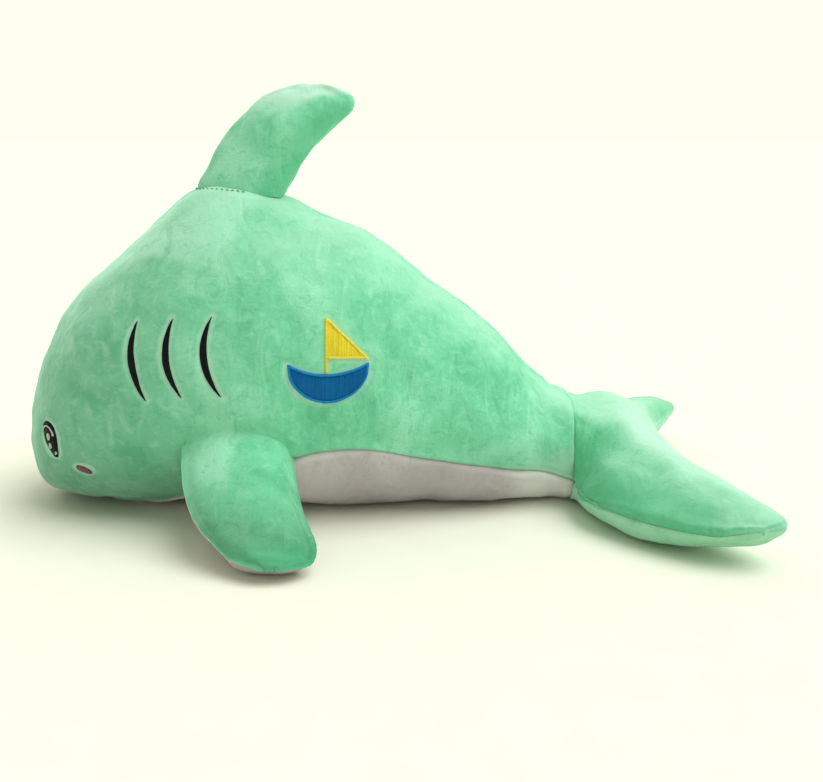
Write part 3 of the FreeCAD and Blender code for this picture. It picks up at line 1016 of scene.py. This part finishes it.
def satin_patch(name, face, a, b, height, pitch, seed, edge_share=0.3):
    """Raised satin stitching over a grid of flat coordinates. Its threads run along the grid's columns."""
    ground = face.points(a, b)
    for _ in range(4):
        beside = ground[:-2, 1:-1] + ground[2:, 1:-1] + ground[1:-1, :-2] + ground[1:-1, 2:]
        ground[1:-1, 1:-1] = beside / 4
    normal = grid_normals(ground)
    facing = normal @ face.inward
    normal = normal * np.where(facing > 0, -1, 1)[..., None]
    run = arc_lengths(ground, 0)[:, a.shape[1] // 2][:, None]
    rows, columns = a.shape
    across = np.linspace(0, 1, columns)[None, :]
    lengthways = np.linspace(0, 1, rows)[:, None]
    crown = 1 - np.clip(1 - np.minimum(across, 1 - across) / edge_share, 0, 1) ** 2.5
    ends = 1 - np.clip(1 - np.minimum(lengthways, 1 - lengthways) / 0.06, 0, 1) ** 2.5
    thread = np.floor(run / pitch)
    uneven = 0.10 * np.sin(thread * 12.9 + seed) + 0.06 * np.sin(thread * 5.3 + 2 * seed + across * 4)
    groove = 0.11 * (np.abs(np.sin(math.pi * run / pitch)) - 0.6)
    rise = height * (np.sqrt(crown * ends) * (1 + uneven + groove)) - 0.5 * MM * (1 - crown * ends)
    made = grid_object(name, ground + normal * rise[..., None], facing_sign(face))
    set_attribute(made, "thread", np.broadcast_to((thread * 0.618 + 0.05 * seed) % 1, a.shape))
    return made


def facing_sign(face):
    """Which way a grid of (along, up) coordinates turns, so that its faces look outwards."""
    return 1 if np.cross(face.along, face.up) @ face.inward < 0 else -1


def strip(places, low, high, rows, columns):
    """Grid of flat coordinates between two curves: along the strip, then across it."""
    along_way = np.linspace(places[0], places[-1], rows)
    bottom, top = np.interp(along_way, places, low), np.interp(along_way, places, high)
    across = np.linspace(0, 1, columns)
    wide = bottom[:, None] + (top - bottom)[:, None] * across
    return np.broadcast_to(along_way[:, None], wide.shape), wide


def band(line, width, rows, columns):
    """Grid of flat coordinates of a strip of even width that follows a line."""
    line = resample(np.array(line), rows, 0)
    heading = np.gradient(line, axis=0)
    heading /= np.linalg.norm(heading, axis=1, keepdims=True)
    aside = np.stack([-heading[:, 1], heading[:, 0]], 1)
    offset = width * (np.linspace(0, 1, columns) - 0.5)
    grid = line[:, None, :] + aside[:, None, :] * offset[None, :, None]
    return grid[..., 0], grid[..., 1]


# ---- Materials ----
def lin(red, green, blue):
    """A screen colour (0 to 255) as the linear colour that shaders take."""
    shares = (value / 255 for value in (red, green, blue))
    return tuple(c / 12.92 if c <= 0.04045 else ((c + 0.055) / 1.055) ** 2.4 for c in shares) + (1.0,)


def feed(tree, node, inputs):
    """Sets or links a node's inputs."""
    for key, value in inputs.items():
        if isinstance(value, bpy.types.NodeSocket):
            tree.links.new(value, node.inputs[key])
        else:
            node.inputs[key].default_value = value


def add(tree, kind, inputs=None, **settings):
    """Adds a shader node, sets its properties, and sets or links its inputs."""
    made = tree.nodes.new(kind)
    for key, value in settings.items():
        setattr(made, key, value)
    feed(tree, made, inputs or {})
    return made


def blank_material(name):
    """A new material: its node tree, its shader and the object's own coordinates."""
    material = bpy.data.materials.new(name)
    material.use_nodes = True
    tree = material.node_tree
    shader = tree.nodes["Principled BSDF"]
    place = add(tree, "ShaderNodeTexCoord").outputs["Object"]
    return material, tree, shader, place


def noise_value(tree, place, scale, detail=2.0, distortion=0.0, stretch=None):
    """Noise between 0 and 1; stretch scales the coordinates first."""
    if stretch:
        place = add(tree, "ShaderNodeMapping", {"Vector": place, "Scale": stretch}).outputs["Vector"]
    inputs = {"Vector": place, "Scale": scale, "Detail": detail, "Distortion": distortion}
    return add(tree, "ShaderNodeTexNoise", inputs).outputs["Fac"]


def attribute(tree, name):
    """A number that the mesh carries at each point."""
    return add(tree, "ShaderNodeAttribute", attribute_name=name).outputs["Fac"]


def axes(tree, vector):
    """The X, Y and Z of a vector."""
    return add(tree, "ShaderNodeSeparateXYZ", {"Vector": vector}).outputs


def remap(tree, value, low, high, to_low=0.0, to_high=1.0):
    """Smooth change from to_low to to_high while a value goes from low to high."""
    inputs = {"Value": value, "From Min": low, "From Max": high, "To Min": to_low, "To Max": to_high}
    made = add(tree, "ShaderNodeMapRange", inputs, interpolation_type="SMOOTHSTEP")
    return made.outputs["Result"]


def layered(tree, colour, *layers):
    """Mixes tints into a colour, one after another. Each layer is a value, its low and its high end, the
    tint's share at both, the tint, and how it blends."""
    for value, low, high, at_low, at_high, tint, *blend in layers:
        inputs = {0: remap(tree, value, low, high, at_low, at_high), 6: colour, 7: tint}
        kind = blend[0] if blend else "MIX"
        colour = add(tree, "ShaderNodeMix", inputs, data_type="RGBA", blend_type=kind).outputs[2]
    return colour


def bump(tree, height, strength, distance, normal=None):
    """Normals of a relief."""
    inputs = {"Height": height, "Strength": strength, "Distance": distance}
    if normal is not None:
        inputs["Normal"] = normal
    return add(tree, "ShaderNodeBump", inputs).outputs["Normal"]


def plush(name, mid, brushed_up, brushed_down_and_shaded, front, parted, sheen, low_painted_shade, lit, lit_from=0.4):
    """Short velvety pile: nap brushed both ways in patches and streaks, paler where stitching parts it.
    Painted shade darkens it towards the nose and near the floor; painted light makes upward faces paler, and
    the cover's shade attribute paints light and shade region by region.
    """
    material, tree, shader, place = blank_material(name)
    patches = noise_value(tree, place, 13, 3.0, 0.8, (1.0, 1.0, 0.8))
    streaks = noise_value(tree, place, 42, 3.0, 1.6, (1.3, 1.0, 0.45))
    flecks = noise_value(tree, place, 125, 4.0, 1.2, (0.8, 1.0, 1.15))
    pile = noise_value(tree, place, 620, 2.0)
    split = axes(tree, place)
    facing = axes(tree, add(tree, "ShaderNodeNewGeometry").outputs["Normal"])
    shade = attribute(tree, "shade")
    colour = layered(
        tree, mid,
        (patches, 0.50, 0.72, 0.0, 0.75, brushed_up),
        (patches, 0.30, 0.46, 0.65, 0.0, brushed_down_and_shaded),
        (streaks, 0.52, 0.75, 0.0, 0.45, brushed_up),
        (streaks, 0.25, 0.45, 0.45, 0.0, brushed_down_and_shaded),
        (flecks, 0.54, 0.72, 0.0, 0.34, brushed_up),
        (flecks, 0.30, 0.46, 0.34, 0.0, brushed_down_and_shaded),
        # painted shade: the head is greyed and darkened towards the nose by multiplying with the front tint
        (split["X"], CAD_LOW.x, CAD_LOW.x * 0.1, 0.9, 0.0, front, "MULTIPLY"),
        # painted shade: darker towards the floor, over the lowest 80 mm
        (split["Z"], 0.0, 80 * MM, low_painted_shade, 0.0, lin(150, 150, 140), "MULTIPLY"),
        (pile, 0.35, 0.65, 0.0, 0.16, brushed_down_and_shaded),
        # painted light: faces turned upwards are mixed towards the pale parted tint
        (facing["Z"], lit_from, 1.0, 0.0, lit, parted),
        # painted light where the shade attribute is above 0, painted shade where it is below
        (shade, 0.0, 1.0, 0.0, 1.0, parted),
        (shade, -1.0, 0.0, 1.0, 0.0, brushed_down_and_shaded),
        (attribute(tree, "parting"), 0.2, 0.9, 0.0, 0.5, parted),
        (attribute(tree, "seam"), 0.5, 1.0, 0.0, 0.3, brushed_down_and_shaded),
    )
    brushed = bump(tree, flecks, 0.35, 1.2 * MM, bump(tree, streaks, 0.35, 3.0 * MM))
    feed(tree, shader, {
        "Base Color": colour,
        "Roughness": remap(tree, streaks, 0.3, 0.7, 0.72, 0.92),
        "Normal": bump(tree, pile, 0.30, 0.5 * MM, brushed),
        "Specular IOR Level": 0.15,
        "Sheen Weight": sheen,
        "Sheen Roughness": 0.45,
        "Sheen Tint": parted,
    })
    return material


def satin(name, colour, dark, gloss=0.38, shine=0.5):
    """Satin stitching: glossy thread, uneven from one thread to the next, with fine twist lines."""
    material, tree, shader, place = blank_material(name)
    twist = noise_value(tree, place, 900, 1.0, 0.0, (1.0, 1.0, 0.25))
    threads = (attribute(tree, "thread"), 0.0, 1.0, 0.0, 0.55, dark)
    feed(tree, shader, {
        "Base Color": layered(tree, colour, threads, (twist, 0.3, 0.7, 0.0, 0.35, dark)),
        "Roughness": remap(tree, twist, 0.3, 0.7, gloss - 0.06, gloss + 0.12),
        "Normal": bump(tree, twist, 0.4, 0.2 * MM),
        "Specular IOR Level": shine,
        "Sheen Weight": 0.3 * shine,
    })
    return material


def fibre(name):
    """White polyester filling: tangled strands, soft and matt."""
    material, tree, shader, place = blank_material(name)
    strands = noise_value(tree, place, 160, 6.0, 2.5)
    clumps = noise_value(tree, place, 28, 2.0)
    bright = (strands, 0.3, 0.7, 0.0, 1.0, lin(246, 247, 245))
    dull = (clumps, 0.3, 0.7, 0.0, 0.25, lin(214, 214, 208))
    feed(tree, shader, {
        "Base Color": layered(tree, lin(206, 208, 206), bright, dull),
        "Normal": bump(tree, strands, 0.7, 2 * MM),
        "Roughness": 0.95,
        "Sheen Weight": 0.3,
    })
    return material


# ---- Looks: a slot and a material ----
MINTS = (lin(124, 218, 172), lin(170, 244, 210), lin(82, 184, 136), lin(252, 214, 226), lin(196, 242, 220))
MINT = ("plush_green", plush("mint_plush", *MINTS, 0.9, 0.75, 0.5))
# the pectoral fins' copy of the mint plush: same colours, more painted shade near the floor, no painted
# light on upward faces
PECTORAL_MINT = ("plush_green", plush("mint_plush_pectoral", *MINTS, 0.9, 0.9, 0.0))
TAIL_MINT = ("plush_green", plush(
    "mint_plush_tail", lin(112, 214, 162), lin(160, 238, 200), lin(76, 184, 130), lin(255, 255, 255),
    lin(220, 252, 238), 0.7, 0.35, 0.3, 0.6,
))
WHITE = ("plush_white", plush(
    "white_plush", lin(206, 199, 204), lin(226, 221, 226), lin(176, 169, 173), lin(250, 238, 236),
    lin(236, 234, 234), 0.4, 0.4, 0.2,
))
PALE = ("plush_pale_green", plush(
    "pale_green_plush", lin(166, 234, 196), lin(192, 244, 216), lin(136, 210, 170), lin(255, 255, 255),
    lin(200, 238, 218), 0.6, 0.25, 0.3,
))
FIBRE = ("filling", fibre("polyester_filling"))
BLACK = ("thread_black", satin("black_thread", lin(12, 14, 17), lin(5, 5, 8), 0.42, 0.12))
GREY = ("thread_grey", satin("grey_thread", lin(206, 210, 208), lin(164, 168, 168)))
ROSE = ("thread_rose", satin("rose_thread", lin(128, 58, 78), lin(92, 36, 54)))
BLUE = ("thread_blue", satin("blue_thread", lin(0, 104, 168), lin(0, 84, 142), 0.5, 0.12))
BRIGHT_BLUE = ("thread_blue", satin("bright_blue_thread", lin(10, 138, 204), lin(0, 112, 176), 0.45, 0.2))
YELLOW = ("thread_yellow", satin("yellow_thread", lin(244, 224, 40), lin(206, 184, 24)))
GOLD = ("thread_yellow", satin("gold_thread", lin(252, 234, 66), lin(222, 198, 36)))
SEWING_GREEN = ("plush_green", satin("sewing_thread", lin(84, 152, 114), lin(60, 122, 88)))

DORSAL = dorsal_rings()
PECTORAL = pectoral_rings()
TAIL = tail_rings()


# ---- Dents that embroidery and fins press into the torso ----
def stitched_nodes(side):
    """CAD nodes of the embroidery on one side of the torso."""
    names = [f"gill_stitching_{side}", f"eye_{side}", f"cheek_{side}"]
    return names + (["boat_hull", "boat_sail", "boat_mast"] if side == "left" else [])


def torso_dents(side):
    """What presses into one side's cover: points, depth, reach, and how far it parts the pile."""
    pectoral = PECTORAL[0] * (1, -SIDES[side], 1)
    stitched = vertices(*stitched_nodes(side))
    thinned = np.unique((stitched / (1.6 * MM)).round(), axis=0) * 1.6 * MM
    return [
        (thinned, 1.3 * MM, 3.6 * MM, 1.0),
        (DORSAL[0], 1.6 * MM, 4.5 * MM, 0.2),
        (pectoral, 2.0 * MM, 4.5 * MM, 0.2),
    ]


# ---- Cover pieces ----
SEWN_EDGES = ("last_row", "first_column", "last_column")


def make_torso():
    """Left and right back panels and the belly panel. Returns the grids of the two back panels."""
    moves = wrinkles("torso_cloth", torso_by_share, 68, 84, torso_gathers)
    v = graded(PROFILE_LENGTH[-1], TORSO_STEP)
    side_shares = graded(BACK_WIDTH, TORSO_STEP)
    belly_shares = graded(BELLY_WIDTH, BELLY_STEP)
    outside = -1
    grids = {}
    for side, edge, seed in (("left", 1, 1.7), ("right", -1, 6.1)):
        turn = torso_columns(v, 0, edge, side_shares)
        vv = np.broadcast_to(v[:, None], turn.shape)
        dents = torso_dents(side)
        found = cover_grid(torso_by_share, vv, turn, moves, SEWN_EDGES, outside, seed, dents)
        piece = make_cover(f"plush_back_{side}", *found, outside * edge, torso_shade(found[0]))
        finish_padded(piece, f"body_cover_{side}", MINT)
        grids[side] = found[0]
    turn = torso_columns(v, 1, 2, belly_shares)
    start = np.searchsorted(v, v[seam_angle(row_x(v)) < math.pi][0])
    vv = np.broadcast_to(v[:, None], turn.shape)
    found = cover_grid(torso_by_share, vv[start:], turn[start:], moves, SEWN_EDGES, outside, 3.3, [])
    piece = make_cover("plush_belly", *found, outside, belly_shade(found[0][..., 0]))
    finish_padded(piece, "belly_panel", WHITE)
    return grids


def make_panels(surface, moves, seams, outside, panels, hinge):
    """Sewn panels of a fin or the tail. Each: its name, node, look, grid places, seed and shade."""
    for name, node, look, places, seed, shade in panels:
        found = cover_grid(surface, *places, moves, seams, outside, seed, [])
        piece = make_cover(name, *found, outside, shade(*places))
        finish_padded(piece, node, look, hinge)


def make_fin(label, rings, flip, panels, hinge):
    """A fin's panels. flip -1 mirrors them to the animal's right."""
    surface = ring_surface(rings, flip)
    moves = wrinkles(f"{label}_cloth", surface, 26, 40, fin_gathers)
    make_panels(surface, moves, SEWN_EDGES, flip, panels, hinge)


def dorsal_hinge():
    """The hinge passed with the dorsal fin's pieces: a body name and the lower and upper end of a bend."""
    x = pivot_of("dorsal_fin_flop")[0]
    return ("dorsal_fin", *((x, 0, z) for z in DORSAL_BEND))


def pectoral_hinge(side):
    """The hinge passed with a pectoral fin's pieces: its joint's child body and the inner and outer end of a
    bend.
    """
    joint = JOINTS[f"{side}_pectoral_flap"]
    start = np.array(joint["pos_m"])
    return joint["child"], start, start + pectoral_outward() * (1, -SIDES[side], 1) * PECTORAL_BEND


def make_dorsal():
    """Two green panels."""
    panels = []
    for side, turn, seed in (("left", 0.0, 2.2), ("right", 0.5, 4.9)):
        places = fin_panel(DORSAL, turn, turn + 0.5)
        panels.append((f"plush_dorsal_{side}", f"dorsal_cover_{side}", MINT, places, seed, dorsal_shade))
    make_fin("dorsal", DORSAL, 1, panels, dorsal_hinge())


def make_pectoral(side):
    """Green above and white below; the white panel wraps a little way up the leading edge."""
    fin = f"{side}_pectoral"
    edge = 0.5 - PECTORAL_WRAP
    panels = []
    layers = (("upper", PECTORAL_MINT, 0.0, edge, 1.2), ("under", WHITE, edge, 1.0, 7.4))
    for layer, look, first, last, seed in layers:
        places = fin_panel(PECTORAL, first, last)
        panels.append((f"plush_{fin}_{layer}", f"{fin}_{layer}_cover", look, places, seed, pectoral_shade))
    make_fin(fin, PECTORAL, -SIDES[side], panels, pectoral_hinge(side))


def make_tail():
    """Green above and paler below, sewn to the torso all round."""
    surface = ring_surface(TAIL)
    moves = TAIL_CALM * wrinkles("tail_cloth", surface, 26, 76, fin_gathers)
    length = TAIL[-1].mean(0)[0] - TAIL[0].mean(0)[0]
    width = np.linalg.norm(np.diff(TAIL[TAIL_ROWS // 2], axis=0), axis=1).sum() / 2
    v = graded(length + 40 * MM, 2.0 * MM)
    shares = graded(width)
    panels = []
    layers = (("upper", TAIL_MINT, 0.0, 3.1, tail_shade), ("under", PALE, 0.5, 8.2, plain_shade))
    for layer, look, first, seed, shade in layers:
        places = np.meshgrid(v, first * (1 - shares) + (first + 0.5) * shares, indexing="ij")
        panels.append((f"plush_tail_{layer}", f"tail_{layer}_cover", look, places, seed, shade))
    make_panels(surface, moves, ("first_row", *SEWN_EDGES), 1, panels, ("tail", *TAIL_BEND))


# ---- Filling ----
def filling_grid(grid, gap):
    """Rings drawn in by a gap, and lumpy. Each point moves towards the one opposite it in its ring."""
    rows, columns = grid.shape[:2]
    opposite = np.roll(grid[:, ::-1], 1, axis=1)
    turn = np.arccos(0.9 * np.cos(TAU * np.arange(columns) / columns)) / TAU
    place = np.broadcast_to(np.linspace(0, 1, rows)[:, None], (rows, columns))
    middle = (grid + opposite) / 2
    drawn_in = sample_lattice(middle, place, np.broadcast_to(turn, (rows, columns)))
    away = grid - middle
    length = np.maximum(np.linalg.norm(away, axis=2, keepdims=True), 1e-9)
    lump = 1.2 * MM * rough(drawn_in + away, 16 * MM, 4.4)[..., None]
    return drawn_in + away * (np.maximum(1 - gap / length, 0.3) + np.minimum(lump / length, 0.1))


def end_faces(ring):
    """Closes a ring by joining each point to the one opposite, so that a flat or curved end stays inside."""
    last = len(ring)
    faces = [(ring[0], ring[1], ring[last - 1])]
    for j in range(1, last // 2 - 1):
        faces.append((ring[j], ring[j + 1], ring[last - j - 1], ring[last - j]))
    middle = last // 2
    faces.append((ring[middle - 1], ring[middle], ring[middle + 1]))
    return [tuple(int(i) for i in face) for face in faces]


def tidy_normals(mesh):
    """Turns a closed mesh's faces outwards."""
    editing = bmesh.new()
    editing.from_mesh(mesh)
    bmesh.ops.recalc_face_normals(editing, faces=editing.faces)
    editing.to_mesh(mesh)
    editing.free()


def make_filling(name, node, grid, hinge=None):
    """Closed piece of stuffing behind a cover."""
    inner = filling_grid(grid, SEAM_DEPTH + FILL_GAP)
    corner, faces = tube_faces(*inner.shape[:2])
    faces += end_faces(corner[0][::-1]) + end_faces(corner[-1])
    piece = mesh_object(name, inner.reshape(-1, 3), faces)
    tidy_normals(piece.data)
    finish_padded(piece, node, FIBRE, hinge)


def make_fillings():
    """Stuffing of the body, the fins and the tail."""
    v, turn = ring_places(0.02, 0.985, 90, 72)
    body = torso_by_share(v, turn)
    body[..., 0] += 1.6 * FILL_GAP * (1 - smoothstep(0, 0.3, v))
    make_filling("filling_body", "body_stuffing", body)
    places = ring_places(0.06, 0.74, 40, 56)
    dorsal = sample_lattice(DORSAL, *places)
    make_filling("filling_dorsal", "dorsal_stuffing", dorsal, dorsal_hinge())
    pectoral = sample_lattice(PECTORAL, *places)
    for side, sign in SIDES.items():
        grid = pectoral * (1, -sign, 1)
        make_filling(f"filling_{side}_pectoral", f"{side}_pectoral_stuffing", grid, pectoral_hinge(side))
    tail = sample_lattice(TAIL, *ring_places(0.04, 0.74, 40, 96))
    make_filling("filling_tail", "tail_stuffing", tail, ("tail", *TAIL_BEND))


# ---- Embroidered pieces ----
def stitch(name, node, look, face, a, b, height=1.1 * MM, pitch=0.8 * MM, seed=1.0):
    """One satin patch that rides on the torso; node is the CAD node it stands for, if it is the first to."""
    piece = satin_patch(name, face, a, b, height, pitch, seed)
    finish_piece(piece, [node] if node else [], look, "torso")


def make_gills(side, tree):
    """Three crescents, their threads laid across them."""
    face = Face(tree, 0, SIDES[side])
    node = f"gill_stitching_{side}"
    for number, part in enumerate(loose_parts(node)):
        heights, near, far = outline(part, face.up, face.along)
        b, a = strip(heights, near, far, 220, 14)
        replaced = node if number == 0 else None
        name = f"gill_{side}_{number + 1}"
        stitch(name, replaced, BLACK, face, a, b, 1.3 * MM, seed=number)


def make_eye(side, tree):
    """Upright black drop, round above and narrow below, and reflections stitched on it in grey."""
    face = Face(tree, FACE_TURN, SIDES[side])
    heights, near, far = outline(loose_parts(f"eye_{side}")[0], face.up, face.along)
    middle_a, middle_b = (near.min() + far.max()) / 2, (heights[0] + heights[-1]) / 2
    half_a, half_b = (far.max() - near.min()) / 2, (heights[-1] - heights[0]) / 2
    t = np.linspace(-1, 1, 60)
    width = half_a * (1 - np.abs(t) ** 2.1) ** 0.5 * (0.90 + 0.34 * t)
    lean = middle_a - 0.26 * half_a * t
    b, a = strip(middle_b + half_b * t, lean - width, lean + width, 170, 40)
    stitch(f"eye_black_{side}", f"eye_{side}", BLACK, face, a, b, 1.5 * MM, 0.7 * MM)
    glints = (
        ("high", -0.02, 0.20, 0.20, 0.20),
        ("low", 0.06, -0.28, 0.17, 0.15),
        ("tick", 0.50, -0.66, 0.10, 0.10),
    )
    for number, (name, shift, rise, wide, tall) in enumerate(glints):
        width = wide * half_a * np.sqrt(1 - np.clip(t, -0.999, 0.999) ** 2)
        centre = middle_a + shift * half_a
        heights = middle_b + rise * half_b + tall * half_b * t
        b, a = strip(heights, centre - width, centre + width, 40, 12)
        replaced = f"eye_glints_{side}" if number == 0 else None
        piece = f"eye_glint_{name}_{side}"
        stitch(piece, replaced, GREY, face, a, b, 2.3 * MM, 0.7 * MM, number)
    lid = np.linspace(0.12 * math.pi, 0.95 * math.pi, 30)
    arch = middle_a - 0.16 * half_a - 0.76 * half_a * np.cos(lid)
    line = np.stack([arch, middle_b + (0.16 + 0.60 * np.sin(lid)) * half_b], 1)
    a, b = band(line, 1.5 * MM, 60, 8)
    stitch(f"eye_rim_{side}", None, GREY, face, a, b, 2.2 * MM, 0.7 * MM, 4)


def make_cheek(side, tree):
    """Small rose lens, sloping down towards the tail."""
    face = Face(tree, FACE_TURN / 2, SIDES[side])
    places, low, high = outline(loose_parts(f"cheek_{side}")[0], face.along, face.up)
    slope = -0.28 * (places - places.mean())
    places = places.mean() + 0.86 * (places - places.mean())
    a, b = strip(places, low + slope, high + slope, 120, 16)
    name = f"cheek_rose_{side}"
    stitch(name, f"cheek_{side}", ROSE, face, a, b, 1.2 * MM, 0.7 * MM)


def embroider(name, node, look, face, size, height, pitch, seed=1.0):
    """Satin stitching over the whole of a CAD node. Returns the node's outline."""
    places, low, high = outline(loose_parts(node)[0], face.along, face.up)
    a, b = strip(places, low, high, *size)
    stitch(name, node, look, face, a, b, height, pitch, seed)
    return places, low, high


def boat_edge(name, look, face, line, width, rows, seed):
    """Raised band of stitching along an edge of the boat."""
    a, b = band(line, width, rows, 10)
    stitch(f"boat_{name}_edge", None, look, face, a, b, 1.9 * MM, 0.75 * MM, seed)


def make_boat(tree):
    """Blue hull with a brighter edge, mast, and a yellow sail with a brighter edge."""
    face = Face(tree, 0, -1)
    size = (420, 16)
    places, low, high = embroider("boat_hull_fill", "boat_hull", BLUE, face, size, 1.2 * MM, 0.9 * MM)
    bow = [places[0] + 1 * MM, high[0] - 1 * MM]
    stern = [places[-1] - 1 * MM, high[-1] - 1 * MM]
    for name, edge, inset in (("keel", low, 1.0 * MM), ("deck", high, -1.0 * MM)):
        line = np.vstack([bow, np.stack([places, edge + inset], 1)[2:-2], stern])
        boat_edge(name, BRIGHT_BLUE, face, line, 2.2 * MM, 420, 2.0)
    size = (220, 20)
    places, low, high = embroider("boat_sail_fill", "boat_sail", YELLOW, face, size, 1.2 * MM, 0.9 * MM, 3.0)
    for name, edge, inset in (("boom", low, 1.0 * MM), ("leech", high, -1.0 * MM)):
        boat_edge(name, GOLD, face, np.stack([places, edge + inset], 1)[1:-1], 2.0 * MM, 260, 5.0)
    heights, near, far = outline(loose_parts("boat_mast")[0], face.up, face.along)
    heights, near, far = np.append(heights, high.max()), np.append(near, near[-1]), np.append(far, far[-1])
    b, a = strip(heights, near, far, 200, 10)
    stitch("boat_mast_line", "boat_mast", YELLOW, face, a, b, 2.0 * MM, 0.75 * MM, 1.0)


def make_mouth(tree):
    """A short, shallow smile of black thread across the front of the head."""
    embroider("mouth_line", "mouth_stitching", BLACK, Face(tree, 90, -1), (140, 8), 1.0 * MM, 0.8 * MM)


def make_root_stitches():
    """Hand stitches that show round the front of the dorsal fin's root."""
    loop = np.vstack([DORSAL[0], DORSAL[0][:1]])
    length = line_lengths(loop)
    count = int(length[-1] / STITCH_PITCH)
    points, faces = [], []
    for number in range(count):
        where = (number + 0.5) * length[-1] / count
        ahead = where + 0.55 * STITCH_PITCH
        if np.interp(where, length, loop[:, 0]) > pivot_of("dorsal_fin_flop")[0] + 8 * MM:
            continue
        ends = interpolate(np.array([where, ahead]) % length[-1], length, loop)
        add_stitch(points, faces, *ends)
    piece = mesh_object("dorsal_root_stitches", points, faces)
    finish_piece(piece, [], SEWING_GREEN, "torso")


def add_stitch(points, faces, first, last):
    """Adds one small rounded stitch that arches over the fabric between two points of a fin's root."""
    heading = (last - first) / np.linalg.norm(last - first)
    out = np.array([first[0] - DORSAL[0][:, 0].mean(), first[1], 0])
    out = out - heading * (out @ heading)
    out = out / np.linalg.norm(out)
    up = np.array([0, 0, 1.0])
    start = len(points)
    rings, sides = 7, 8
    for i in range(rings):
        share = i / (rings - 1)
        swell = 0.45 * MM * (0.35 + 0.65 * math.sin(math.pi * share))
        centre = first + (last - first) * share + out * 1.6 * MM
        centre = centre + up * (ROOT_INSET - 2.4 * MM + 0.9 * MM * math.sin(math.pi * share))
        for j in range(sides):
            angle = TAU * j / sides
            points.append(centre + swell * (math.cos(angle) * out + math.sin(angle) * up))
    for i in range(rings - 1):
        for j in range(sides):
            a, b = start + i * sides + j, start + i * sides + (j + 1) % sides
            faces.append((a, b, b + sides, a + sides))


# ---- Stage, light and camera ----
def make_stage():
    """A plain pale floor that reaches the horizon."""
    corners = [(x * FLOOR_REACH, y * FLOOR_REACH, 0) for x, y in ((-1, -1), (1, -1), (1, 1), (-1, 1))]
    floor = mesh_object("floor", corners, [(0, 1, 2, 3)])
    material, tree, shader, place = blank_material("pale_floor")
    grain = noise_value(tree, place, 30, 4.0)
    shade = layered(tree, lin(240, 241, 226), (grain, 0.3, 0.7, 0.0, 1.0, lin(242, 243, 229)))
    feed(tree, shader, {"Base Color": shade, "Roughness": 0.9, "Specular IOR Level": 0.1})
    floor.data.materials.append(material)


def make_world():
    """Soft studio surroundings, brighter behind the object than on the camera's side."""
    world = bpy.data.worlds.new("studio")
    world.use_nodes = True
    tree = world.node_tree
    background = tree.nodes["Background"]
    split = axes(tree, add(tree, "ShaderNodeTexCoord").outputs["Generated"])
    strength = remap(tree, split["Y"], -0.5, 0.35, 0.38, 1.0)
    feed(tree, background, {"Strength": strength, "Color": lin(254, 255, 240)})
    bpy.context.scene.world = world


def make_sun():
    """A very soft key light from above and behind the tail."""
    light = bpy.data.lights.new("key", "SUN")
    light.energy = KEY_POWER
    light.angle = math.radians(50)
    lamp = scene_object("key", light)
    lamp.rotation_euler = Vector((0.5, -0.1, 0.85)).to_track_quat("Z", "Y").to_euler()


def make_camera():
    """The photograph's viewpoint: level with the fin's top, looking slightly down at the left side."""
    camera = bpy.data.cameras.new("camera")
    camera.lens = CAMERA_LENS
    camera.sensor_width = 36
    holder = scene_object("camera", camera)
    holder.location = CAMERA_PLACE
    holder.rotation_euler = (math.radians(CAMERA_TILT), 0, 0)
    bpy.context.scene.camera = holder


def main():
    """Makes everything, the covers first: the embroidery is laid on them."""
    grids = make_torso()
    trees = {side: grid_tree(grid) for side, grid in grids.items()}
    make_dorsal()
    make_pectoral("left")
    make_pectoral("right")
    make_tail()
    make_fillings()
    for side, tree in trees.items():
        make_gills(side, tree)
        make_eye(side, tree)
        make_cheek(side, tree)
    make_boat(trees["left"])
    make_mouth(grid_tree(np.concatenate([grids["right"][:, ::-1], grids["left"]], axis=1)))
    make_root_stitches()
    make_stage()
    make_world()
    make_sun()
    make_camera()
    bpy.context.scene.view_settings.view_transform = "Standard"


main()
